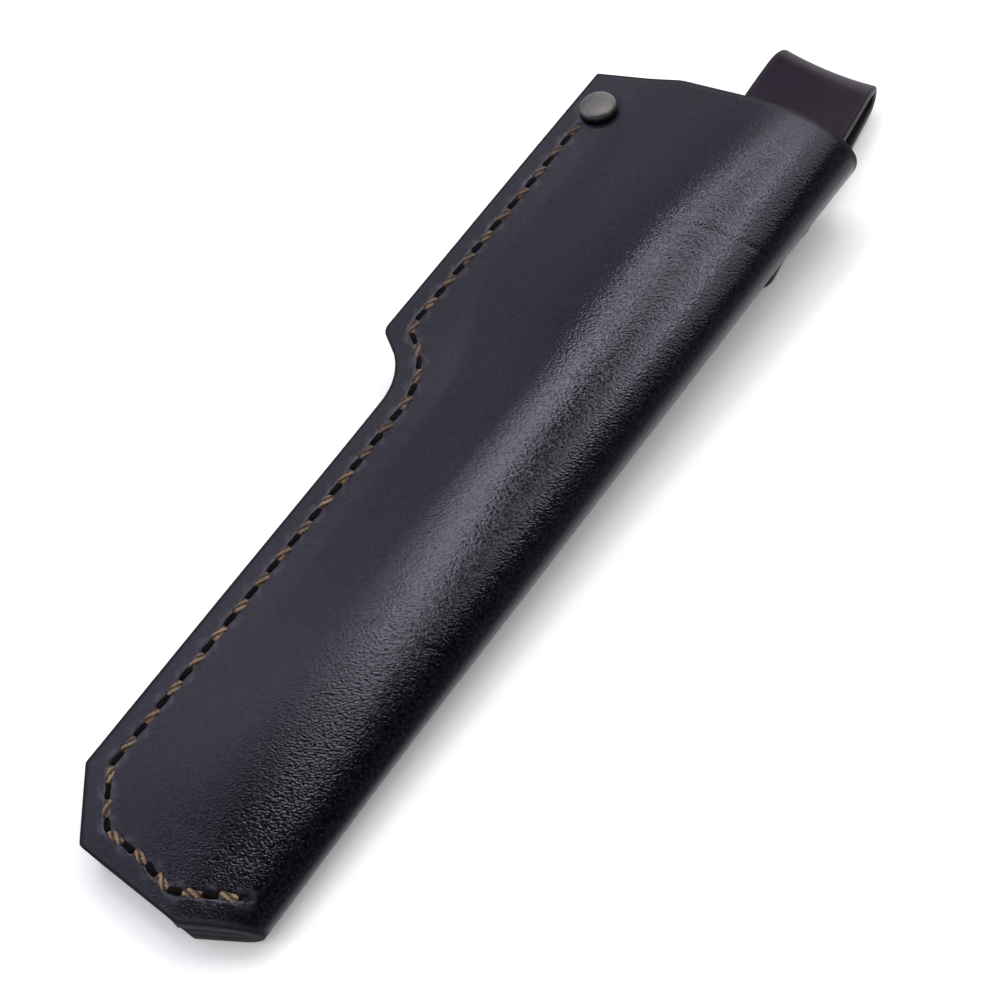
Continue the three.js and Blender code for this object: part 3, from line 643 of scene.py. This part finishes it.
print("strap is", round(strap_way[-1], 1), "mm long")

# %% Strap
TAIL_RADIUS = 4.0
TOP_WIDTH = 25.4
flare = (STRAP_RIGHT - STRAP_LEFT - TOP_WIDTH) / (TOP_Y - TAIL_Y)
from_tail = np.minimum(np.minimum(strap_way, strap_way[::-1]), TAIL_RADIUS)
corner = TAIL_RADIUS - np.sqrt(TAIL_RADIUS**2 - (TAIL_RADIUS - from_tail) ** 2)
strap_y, strap_z = strap_line.T
left = STRAP_LEFT + STRAP_ARRIS + corner
right = STRAP_RIGHT - STRAP_ARRIS - corner - flare * (strap_y - TAIL_Y)
share = np.linspace(0, 1, 41)
strap_x = right[:, None] + (left - right)[:, None] * share
SAG, LEFT_CURL, BOTH_CURL = 1.6, 1.2, 1.7
LOOSE_FROM, LOOSE_OVER = 226, 24  # the front layer comes off the mouth and gives way to the saddle
from_middle = 1 - 2 * share
saddle = -SAG - LEFT_CURL * from_middle + BOTH_CURL * from_middle**2
loose = ease((strap_y - LOOSE_FROM) / LOOSE_OVER) * (strap_z - FAR_Z) / (NEAR_Z - FAR_Z)
strap_lift = strap_z[:, None] + loose[:, None] * saddle
strap_face = np.stack(np.broadcast_arrays(strap_x, strap_y[:, None], strap_lift), axis=-1)
print("loop's top, in mm off level:", np.round([saddle.min(), saddle.max()], 2).tolist())
strap_out = facing(strap_face)
points, faces, on_edge, inside = sheet(strap_face, strap_face, strap_out, STRAP_WALL, STRAP_ARRIS, 0.4)
strap = make_piece("belt_loop", points, faces, "strap_leather", "belt_loop_strap")
to_strap_side = np.minimum(strap_x - left[:, None], right[:, None] - strap_x)
on_edge[: strap_x.size] = bell(to_strap_side, 0.7).ravel()
paint(strap, "cut_edge", on_edge)
paint(strap, "flesh", inside)

# %% [markdown]
# ## Two threads
# Each thread lies on the face for one stitch and on the back for the next, and the other thread
# does the opposite, so both run through every slit. One stitch is an arch with upright legs: a
# squared-off half circle. All arches in a row make one route. A curve with a round bevel could run
# along it, but waxed thread is pressed flat and shows its twist, so a flattened rope follows the
# route, and its strands are ridges that wind slowly round it.

# %% Route of a thread
BACK_LEVEL = 4.6


def thread_route(first_on_front, offset, sunk, stretch, square):
    """Route of one thread: for every stitch, across = (1 - |cos|^square) / 2 with its sign and
    height = level * |sin|^square over half a turn, from offset on one side of a slit to offset on
    the other side of the next, drawn out by stretch at both ends on the face and drawn in as much
    on the back. On the face the level is the leather's own height less what the thread is sunk."""
    on_face = (np.arange(STITCHES) % 2 == 0) == first_on_front
    side = np.where(on_face, 1.0, -1.0)[:, None]
    begin = slits[:-1] + side * (offset * slit_slant[:-1] - stretch * seam_heading[:-1])
    end = slits[1:] - side * (offset * slit_slant[1:] - stretch * seam_heading[1:])
    turn = np.linspace(0, np.pi, 48, endpoint=False)
    part = (1 - np.sign(np.cos(turn)) * np.abs(np.cos(turn)) ** square) / 2
    rise = np.sin(turn) ** square
    plan = begin[:, None] + part[None, :, None] * (end - begin)[:, None]
    level = front_height(plan[..., 0], plan[..., 1]) - sunk
    height = np.where(on_face[:, None], level, -BACK_LEVEL) * rise
    route = np.concatenate([plan, height[..., None]], axis=-1).reshape(-1, 3)
    return np.vstack([route, [[*end[-1], 0.0]]])


def rope(route, step, width, depth, strands, lay_length, sides=20):
    """Flattened rope round a route: at the angle a its radius is (width cos a, depth sin a) times
    1 + 0.08 cos w, with w = strands * (a - 2 pi way / lay_length). Inside the leather it is drawn
    tighter. Returns a grid of points, and w for each of them."""
    way = np.arange(0, measure(route)[-1], step)
    path = walk(route, way)
    along = np.gradient(path, axis=0)
    along /= np.linalg.norm(along, axis=1, keepdims=True)
    nearest = np.clip(np.searchsorted(slit_way, np.linspace(0, seam_length, len(way))), 0, STITCHES)
    sideways = np.stack([-seam_heading[nearest, 1], seam_heading[nearest, 0], np.zeros(len(way))], axis=1)
    sideways -= (sideways * along).sum(1, keepdims=True) * along
    sideways /= np.linalg.norm(sideways, axis=1, keepdims=True)
    upright = np.cross(along, sideways)
    angle = np.linspace(0, 2 * np.pi, sides, endpoint=False)
    winding = strands * (angle - 2 * np.pi * way[:, None] / lay_length)
    spread = 0.6 + 0.4 * ease((np.abs(path[:, 2:]) - 3.0) / 1.2)
    swell = (spread * (1 + 0.08 * np.cos(winding)))[..., None]
    half_width = width * np.cos(angle)[:, None] * sideways[:, None]
    half_depth = depth * np.sin(angle)[:, None] * upright[:, None]
    ring = half_width + half_depth
    return path[:, None] + swell * ring, winding


def rope_faces(rings, sides):
    """Quads of the rope's skin, closed round, with a polygon over each end."""
    numbers = np.arange(rings * sides).reshape(rings, sides)
    around = np.roll(numbers, -1, axis=1)
    quads = np.stack([numbers[:-1], around[:-1], around[1:], numbers[1:]], axis=-1).reshape(-1, 4)
    return quads.tolist() + [numbers[0, ::-1].tolist(), numbers[-1].tolist()]


# %% Brown thread and black thread
SQUARE = 0.3  # the smaller, the squarer the arches
ROPE_STEP, ROPE_DEPTH, STRANDS, LAY_LENGTH = 0.24, 0.42, 4, 13.0
for name, node, slot, first, offset, sunk, stretch, width in (
    ("brown_stitching", "brown_thread", "brown_waxed_thread", False, 0.38, 0.15, 0.2, 0.92),
    ("black_stitching", "black_thread", "black_waxed_thread", True, 0.2, 0.3, 0.0, 0.9),
):
    route = thread_route(first, offset, sunk, stretch, SQUARE)
    skin, winding = rope(route, ROPE_STEP, width, ROPE_DEPTH, STRANDS, LAY_LENGTH)
    piece = make_piece(name, skin.reshape(-1, 3), rope_faces(*skin.shape[:2]), slot, node)
    paint(piece, "winding", winding.ravel())

# %% [markdown]
# ## Rivets
# A double-cap rivet has two turned pieces: a cap with a socket and a post with a head of the
# same shape. Both are profiles of radius and height, spun about the rivet's axis. The Screw
# modifier could spin them too. Done as arrays, each end of the axis is closed by a single point.

# %% Turned pieces
CAP_RADIUS, CAP_HEIGHT, CAP_RIM, RIVET_GAP = 4.5, 2.2, 0.7, 0.2
tilt = np.linspace(np.pi / 2, 0, 25)
dome = np.stack([
    CAP_RADIUS * np.sin(tilt) ** 0.75,
    RIVET_GAP + CAP_RIM / 2 + (CAP_HEIGHT - CAP_RIM / 2) * np.cos(tilt) ** 0.5,
], axis=1)
lip = np.linspace(-np.pi / 2, 0, 7)[:-1]
rolled = np.stack([
    CAP_RADIUS - CAP_RIM / 2 * (1 - np.cos(lip)),
    RIVET_GAP + CAP_RIM / 2 * (1 + np.sin(lip)),
], axis=1)
cap_outside = np.vstack([rolled, dome])
print("cap", 2 * CAP_RADIUS, "mm wide and", round(float(cap_outside[:, 1].max()), 2), "mm high")


def turned(profile, place, foot, facing_up, turns=64):
    """Profile of (radius, height) spun about the rivet's axis, closed by one point at each end of
    the axis. Its foot is the level of the leather's face, and it stands up or hangs down from it."""
    angle = np.linspace(0, 2 * np.pi, turns, endpoint=False)
    radius, height = profile[1:-1, 0, None], profile[1:-1, 1, None] * np.ones(turns)
    rings = np.stack([radius * np.cos(angle), radius * np.sin(angle), height], axis=-1)
    ends = np.array([[0, 0, profile[0, 1]], [0, 0, profile[-1, 1]]])
    points = np.vstack([rings.reshape(-1, 3), ends])
    if not facing_up:
        points = points * [1, -1, -1]
    numbers = np.arange(rings[..., 0].size).reshape(rings.shape[:2])
    beside = np.roll(numbers, -1, axis=1)
    quads = np.stack([numbers[:-1], beside[:-1], beside[1:], numbers[1:]], axis=-1).reshape(-1, 4)
    first, last = numbers.size, numbers.size + 1
    bottom = np.stack([np.full(turns, first), beside[0], numbers[0]], axis=1)
    crown = np.stack([numbers[-1], beside[-1], np.full(turns, last)], axis=1)
    return points + [*place, foot], quads.tolist() + bottom.tolist() + crown.tolist()


# %% Three rivets
SOCKET_BORE, SOCKET_OUT, SOCKET_TOP, SOCKET_DEPTH = 1.5, 2.1, 0.9, 6.6
SHANK_END, SHANK = 1.2, 1.3  # radius of the post at its bevelled end and above it
rivet_pieces = []


def rivet(name, place, cap_face, post_face):
    """One rivet through the leather between two faces: cap with its socket, and post with its head."""
    grip = abs(cap_face - post_face)
    up = cap_face > post_face
    low = -min(SOCKET_DEPTH, grip - 0.2)
    bore = [[0, SOCKET_TOP], [SOCKET_BORE, SOCKET_TOP], [SOCKET_BORE, low]]
    socket = bore + [[SOCKET_OUT, low], [SOCKET_OUT, RIVET_GAP]]
    shank = [[0, -grip], [SHANK_END, -grip], [SHANK, 0.1 - grip], [SHANK, RIVET_GAP]]
    for part, stem, foot, faces_up in (("cap", socket, cap_face, up), ("post", shank, post_face, not up)):
        points, faces = turned(np.vstack([stem, cap_outside]), place, foot, faces_up)
        piece = make_piece(f"{name}_{part}_turned", points, faces, "rivet_metal", f"{name}_{part}")
        rivet_pieces.append(piece)


LOOP_RIVET_Y = 197.3
POCKET_BACK = -5.3  # inner face of the back wall
rivet("mouth_rivet", RIVET, EDGE_HALF, -EDGE_HALF)
rivet("loop_rivet_1", np.array([25.2, LOOP_RIVET_Y]), CLOSED_Z, POCKET_BACK)
rivet("loop_rivet_2", np.array([43.2, LOOP_RIVET_Y]), CLOSED_Z, POCKET_BACK)

# %% [markdown]
# ## Finishes
# Every finish is a small tree of nodes on one shader. The nodes could be set by hand in the shader
# editor. A helper that adds a node and sets its inputs makes each finish below read like a recipe.
# Patterns are laid out in millimetres: the object's own coordinates times a thousand.

# %% Node helpers


def new_finish(name):
    """A material with its shader, and a function that adds nodes to it."""
    material = bpy.data.materials.new(name)
    material.use_nodes = True
    tree = material.node_tree
    shader = tree.nodes["Principled BSDF"]

    def add(kind, inputs, **settings):
        """Adds a node, applies its settings, and links or sets each named input."""
        node = tree.nodes.new(kind)
        for key, value in settings.items():
            setattr(node, key, value)
        for key, value in inputs.items():
            if isinstance(value, bpy.types.NodeSocket):
                tree.links.new(value, node.inputs[key])
            else:
                node.inputs[key].default_value = value
        return node

    def feed(key, value):
        """Links or sets one of the shader's inputs."""
        if isinstance(value, bpy.types.NodeSocket):
            tree.links.new(value, shader.inputs[key])
        else:
            shader.inputs[key].default_value = value

    return material, add, feed


def dress(finish, *pieces):
    """Puts a finish on some pieces."""
    for piece in pieces:
        piece.data.materials.append(finish)
    print(len(finish.node_tree.nodes), "nodes dress", ", ".join(piece.name for piece in pieces))


def millimetres(add):
    """Object coordinates in millimetres."""
    place = add("ShaderNodeTexCoord", {}).outputs["Object"]
    return add("ShaderNodeMapping", {"Vector": place, "Scale": (1000, 1000, 1000)}).outputs["Vector"]


def stored(add, name):
    """A number that was painted on the piece's points."""
    return add("ShaderNodeAttribute", {}, attribute_name=name).outputs["Fac"]


def math(add, operation, one, two=0.0):
    """One step of arithmetic."""
    node = add("ShaderNodeMath", {0: one, 1: two}, operation=operation)
    return node.outputs["Value"]


def times(add, one, two):
    """Product of two values."""
    return math(add, "MULTIPLY", one, two)


def blend(add, share, one, two):
    """Colour between two colours."""
    node = add("ShaderNodeMix", {"Factor": share, "A": one, "B": two}, data_type="RGBA")
    return node.outputs["Result"]


def noise(add, place, scale, detail=3.0, rough=0.5):
    """Soft random pattern, scale features to the millimetre."""
    inputs = {"Vector": place, "Scale": scale, "Detail": detail, "Roughness": rough}
    return add("ShaderNodeTexNoise", inputs).outputs["Fac"]


def span(add, value, low, high, to_low, to_high):
    """Stretches the range low to high onto another range and cuts off what lies outside."""
    inputs = {"Value": value, "From Min": low, "From Max": high, "To Min": to_low, "To Max": to_high}
    return add("ShaderNodeMapRange", inputs).outputs["Result"]


def emboss(add, feed, height, strength, distance):
    """Fine relief: heights of at most distance metres tilt the face, as far as strength says."""
    inputs = {"Height": height, "Strength": strength, "Distance": distance}
    feed("Normal", add("ShaderNodeBump", inputs).outputs["Normal"])


# %% [markdown]
# ### Body leather
# Dyed, waxed leather: nearly black with a cool cast, satin on the flat and polished where it is
# stretched over the shoulder. There it has fine wrinkles half a millimetre apart that run across
# the sheath at a slant, made by a noise drawn out along that slant. The small pebbles of the grain
# are the cells of a Voronoi pattern, warped by noise, and their tops are specks where the dye is
# thinner. Cut edges are dyed black, smooth and dull, and the flesh side is dull and fibrous. A
# photograph of leather could give all this, but patterns can be tuned and repeat nowhere.

# %% Body leather: dye
body_finish, add, feed = new_finish("waxed_black_leather")
place = millimetres(add)
cut, flesh, rub, curve = (stored(add, name) for name in ("cut_edge", "flesh", "rubbed", "curved"))
warp = add("ShaderNodeTexNoise", {"Vector": place, "Scale": 1.3, "Detail": 2.0}).outputs["Color"]
pushed = {0: warp, 1: (0.25, 0.25, 0.25), 2: place}
warped = add("ShaderNodeVectorMath", pushed, operation="MULTIPLY_ADD").outputs["Vector"]
pebble = add("ShaderNodeTexVoronoi", {"Vector": warped, "Scale": 1.5}).outputs["Distance"]
fine = noise(add, place, 4.0, 3.0, 0.6)
broad = noise(add, place, 0.045, 3.0)
deep_dye, full_dye = (0.0006, 0.0005, 0.0015, 1), (0.001, 0.0009, 0.0022, 1)
thin_dye, rubbed_dye = (0.0125, 0.012, 0.0168, 1), (0.04, 0.039, 0.048, 1)
edge_dye = (0.0012, 0.0011, 0.0018, 1)
tone = blend(add, span(add, broad, 0.35, 0.65, 0, 1), deep_dye, full_dye)
speck = times(add, span(add, pebble, 0.15, 0.65, 1, 0), span(add, fine, 0.35, 0.65, 0.2, 1))
tone = blend(add, times(add, speck, 0.8), tone, thin_dye)
tone = blend(add, times(add, rub, 0.7), tone, rubbed_dye)
tone = blend(add, cut, tone, edge_dye)
fibre = noise(add, place, 2.2, 6.0, 0.7)
tone = blend(add, flesh, tone, blend(add, fibre, (0.012, 0.0105, 0.0105, 1), (0.04, 0.034, 0.033, 1)))
feed("Base Color", tone)

# %% Body leather: polish and grain
satin = span(add, fine, 0.3, 0.7, 0.27, 0.33)
satin = math(add, "SUBTRACT", satin, times(add, curve, 0.19))
satin = math(add, "ADD", satin, times(add, cut, 0.5))
feed("Roughness", math(add, "ADD", satin, times(add, flesh, 0.5)))
feed("Specular IOR Level", 0.4)
feed("Specular Tint", (0.85, 0.82, 1.0, 1))
slant = add("ShaderNodeMapping", {"Vector": place, "Rotation": (0, 0, -0.5)}).outputs["Vector"]
drawn = add("ShaderNodeVectorMath", {0: slant, 1: (0.65, 1.0, 1.0)}, operation="MULTIPLY").outputs["Vector"]
wrinkle = noise(add, drawn, 2.3, 1.0, 0.5)
height = math(add, "SUBTRACT", wrinkle, times(add, times(add, pebble, pebble), 0.15))
strength = math(add, "ADD", times(add, curve, 0.65), 0.35)
strength = times(add, strength, math(add, "SUBTRACT", 1.0, times(add, cut, 0.85)))
emboss(add, feed, height, strength, 0.00007)
dress(body_finish, body)

# %% [markdown]
# ### Welt leather
# The strip's edge is dyed and rubbed down with the rest, and stays dull. Its faint fibres lie along
# it: a noise that changes quickly from layer to layer and slowly along the edge.

# %% Welt finish
welt_finish, add, feed = new_finish("burnished_edge")
place = millimetres(add)
along = add("ShaderNodeMapping", {"Vector": place, "Scale": (0.5, 0.5, 4.0)}).outputs["Vector"]
fibre = noise(add, along, 0.9, 4.0, 0.6)
feed("Base Color", blend(add, fibre, (0.002, 0.0018, 0.003, 1), (0.004, 0.0036, 0.006, 1)))
feed("Roughness", span(add, fibre, 0.3, 0.7, 0.7, 0.8))
feed("Specular IOR Level", 0.2)
feed("Specular Tint", (0.85, 0.82, 1.0, 1))
emboss(add, feed, fibre, 0.2, 0.0001)
dress(welt_finish, welt)

# %% [markdown]
# ### Strap leather
# The strap is smoother and redder than the body: a plum brown with a soft polish, a very fine
# grain and edges that were left grey-black. The recipe is the body's, with fewer steps: noise and
# small Voronoi pores, but no wrinkles.

# %% Strap finish
strap_finish, add, feed = new_finish("plum_brown_leather")
place = millimetres(add)
cut, flesh = stored(add, "cut_edge"), stored(add, "flesh")
broad, fine = noise(add, place, 0.08, 3.0), noise(add, place, 4.5, 3.0, 0.6)
dark_plum, light_plum = (0.0065, 0.0029, 0.0064, 1), (0.0083, 0.0038, 0.0082, 1)
tone = blend(add, span(add, broad, 0.35, 0.65, 0, 1), dark_plum, light_plum)
tone = blend(add, cut, tone, (0.012, 0.0105, 0.0125, 1))
fibre = noise(add, place, 2.2, 6.0, 0.7)
tone = blend(add, flesh, tone, blend(add, fibre, (0.008, 0.006, 0.006, 1), (0.026, 0.019, 0.019, 1)))
feed("Base Color", tone)
satin = span(add, fine, 0.3, 0.7, 0.38, 0.45)
feed("Roughness", math(add, "ADD", satin, times(add, flesh, 0.5)))
feed("Specular IOR Level", 0.14)
feed("Specular Tint", (0.84, 0.7, 1.0, 1))
pores = add("ShaderNodeTexVoronoi", {"Vector": place, "Scale": 2.4}).outputs["Distance"]
height = math(add, "ADD", times(add, fine, 0.5), times(add, pores, 0.3))
emboss(add, feed, height, 0.2, 0.0001)
dress(strap_finish, strap)

# %% [markdown]
# ### Waxed threads
# The twist is in the shape already. The colour follows each strand's turn round the thread, which
# the rope stored on its points: painted shade between the strands and a painted highlight on them.
# Fine streaks of fibre and some wax make it uneven, and towards the mouth it is painted darker, as
# shade. Both threads share one recipe.

# %% Thread finishes


def waxed_thread(name, dark, light, gloss):
    """Thread finish: painted shade between the strands and a painted highlight on them, streaked by
    fibres, uneven from stitch to stitch, and painted shade that makes it darker towards the mouth."""
    finish, add, feed = new_finish(name)
    place = millimetres(add)
    grain, patch = noise(add, place, 2.2, 4.0, 0.65), noise(add, place, 0.21)
    # Painted shade between the strands and painted highlight on their tops, from each strand's turn, with
    # streaks of fibre
    ridge = math(add, "COSINE", math(add, "ADD", stored(add, "winding"), times(add, grain, 4.0)))
    share = math(add, "ADD", span(add, ridge, -1, 1, -0.2, 0.5), span(add, grain, 0.32, 0.68, -0.2, 0.5))
    # Painted shade: darker towards the mouth, times random patches from stitch to stitch
    along = add("ShaderNodeSeparateXYZ", {"Vector": place}).outputs["Y"]
    painted_shade_and_patches = span(add, along, -60, 60, 1.0, 0.4)
    painted_shade_and_patches = times(add, painted_shade_and_patches, span(add, patch, 0.35, 0.65, 0.45, 1.2))
    share = times(add, share, painted_shade_and_patches)
    feed("Base Color", blend(add, share, dark, light))
    feed("Roughness", span(add, grain, 0.3, 0.7, 0.5, 0.68))
    feed("Specular IOR Level", gloss)
    emboss(add, feed, grain, 0.5, 0.0001)
    return finish


# Dark ends: painted shade between the strands and dark fibres. Light ends: painted highlight on the strands
# and pale fibres
dark_brown, light_brown = (0.014, 0.007, 0.004, 1), (0.29, 0.185, 0.113, 1)
deep_black, highlight_and_fibre_black = (0.0004, 0.0004, 0.0004, 1), (0.0025, 0.0022, 0.0024, 1)
brown_finish = waxed_thread("brown_waxed_thread", dark_brown, light_brown, 0.3)
black_finish = waxed_thread("black_waxed_thread", deep_black, highlight_and_fibre_black, 0.06)
dress(brown_finish, bpy.data.objects["brown_stitching"])
dress(black_finish, bpy.data.objects["black_stitching"])

# %% [markdown]
# ### Rivet metal
# Dark nickel with a soft polish: a grey metal, slightly cloudy. A rough metal with two tones of
# noise is enough for so small a piece, and a very fine relief breaks up what it mirrors.

# %% Rivet finish
rivet_finish, add, feed = new_finish("dark_nickel")
place = millimetres(add)
cloud, tooth = noise(add, place, 0.8, 4.0, 0.6), noise(add, place, 9.0, 2.0)
dark_nickel, light_nickel = (0.115, 0.109, 0.105, 1), (0.143, 0.136, 0.13, 1)
feed("Base Color", blend(add, span(add, cloud, 0.35, 0.65, 0, 1), dark_nickel, light_nickel))
feed("Metallic", 1.0)
feed("Roughness", span(add, cloud, 0.3, 0.7, 0.42, 0.48))
emboss(add, feed, tooth, 0.15, 0.00005)
dress(rivet_finish, *rivet_pieces)

# %% [markdown]
# ## Table and light
# A white table in a room that is pale at the horizon and dark overhead, apart from its soft panels.
# A lamp or two would light the table just as well, but waxed black leather looks like what it
# mirrors, so each panel is put where a part of the leather looks. The flat mirrors three wide, cool
# panels on the left. The shoulder turns past a ring of five brighter ones, whose dark middle parts
# the sheen into two ridges and brings out the grain. Two weaker panels beyond the ring carry the
# sheen on. Past them the leather goes nearly black, until the fold's rim mirrors the table and the
# pale horizon. A panel at the back shows in the rounded top of the loop. A last one fills the
# shadows on the table and shows in no reflection.

# %% Table
floor_mesh = bpy.data.meshes.new("table")
TABLE_HALF = 3  # metres from the middle of the table to its sides
table_corners = TABLE_HALF * np.array([[-1, -1, 0], [1, -1, 0], [1, 1, 0], [-1, 1, 0]])
floor_mesh.from_pydata(table_corners.tolist(), [], [(0, 1, 2, 3)])
floor = bpy.data.objects.new("table", floor_mesh)
bpy.context.collection.objects.link(floor)
floor_finish, add, feed = new_finish("white_table")
feed("Base Color", (0.9, 0.9, 0.9, 1))
feed("Roughness", 0.8)
feed("Specular IOR Level", 0.2)
dress(floor_finish, floor)

# %% Room
HORIZON, OVERHEAD = 0.45, 0.02  # brightness of the room
room = bpy.data.worlds.new("room")
room.use_nodes = True
room_nodes, room_links = room.node_tree.nodes, room.node_tree.links
direction = room_nodes.new("ShaderNodeTexCoord")
parts = room_nodes.new("ShaderNodeSeparateXYZ")
haze = room_nodes.new("ShaderNodeMapRange")
for key, value in {"From Min": 0.0, "From Max": 0.85, "To Min": HORIZON, "To Max": OVERHEAD}.items():
    haze.inputs[key].default_value = value
room_links.new(direction.outputs["Generated"], parts.inputs["Vector"])
room_links.new(parts.outputs["Z"], haze.inputs["Value"])
room_links.new(haze.outputs["Result"], room_nodes["Background"].inputs["Strength"])
room_nodes["Background"].inputs["Color"].default_value = (1.0, 1.0, 1.0, 1)
bpy.context.scene.world = room
bpy.context.scene.view_settings.view_transform = "Standard"
print("room is", HORIZON, "bright at the horizon and", OVERHEAD, "overhead")


# %% Panels
def panel(name, low, high, brightness, colour):
    """A soft light one metre up that faces straight down and fills the plan from the corner low to
    the corner high. Its power is pi * area * brightness."""
    lamp = bpy.data.lights.new(name, "AREA")
    lamp.shape = "RECTANGLE"
    lamp.size, lamp.size_y = high[0] - low[0], high[1] - low[1]
    lamp.energy = np.pi * lamp.size * lamp.size_y * brightness
    lamp.color = colour
    light = bpy.data.objects.new(name, lamp)
    light.location = ((low[0] + high[0]) / 2, (low[1] + high[1]) / 2, 1.0)
    bpy.context.collection.objects.link(light)
    return light


COOL, PLAIN = (0.88, 0.86, 1.0), (1.0, 0.99, 1.0)
panel("near_left_panel", (-2.5, -1.5), (-0.6, 0.08), 2.1, COOL)
panel("left_panel", (-2.5, 0.08), (-0.42, 0.58), 0.76, COOL)
panel("far_left_panel", (-2.5, 0.58), (-0.6, 2.5), 0.68, COOL)
panel("far_panel", (-0.6, 0.58), (0.7, 0.95), 2.3, PLAIN)
panel("ring_left", (-0.4, 0.16), (-0.26, 0.45), 9.0, PLAIN)
panel("ring_near", (-0.6, 0.04), (-0.04, 0.12), 9.0, PLAIN)
panel("ring_far", (-0.36, 0.45), (0.08, 0.58), 6.3, PLAIN)
panel("ring_low_right", (0.0, 0.14), (0.08, 0.32), 5.5, PLAIN)
panel("ring_high_right", (0.08, 0.32), (0.19, 0.5), 9.5, PLAIN)
panel("right_panel", (0.19, 0.4), (0.45, 0.58), 2.4, PLAIN)
panel("back_panel", (-3.5, 2.5), (0.8, 8.0), 4.0, PLAIN)
panel("fill_panel", (-2.5, -2.5), (2.5, 2.5), 1.0, PLAIN).visible_glossy = False
print(len(bpy.data.lights), "panels over the table")
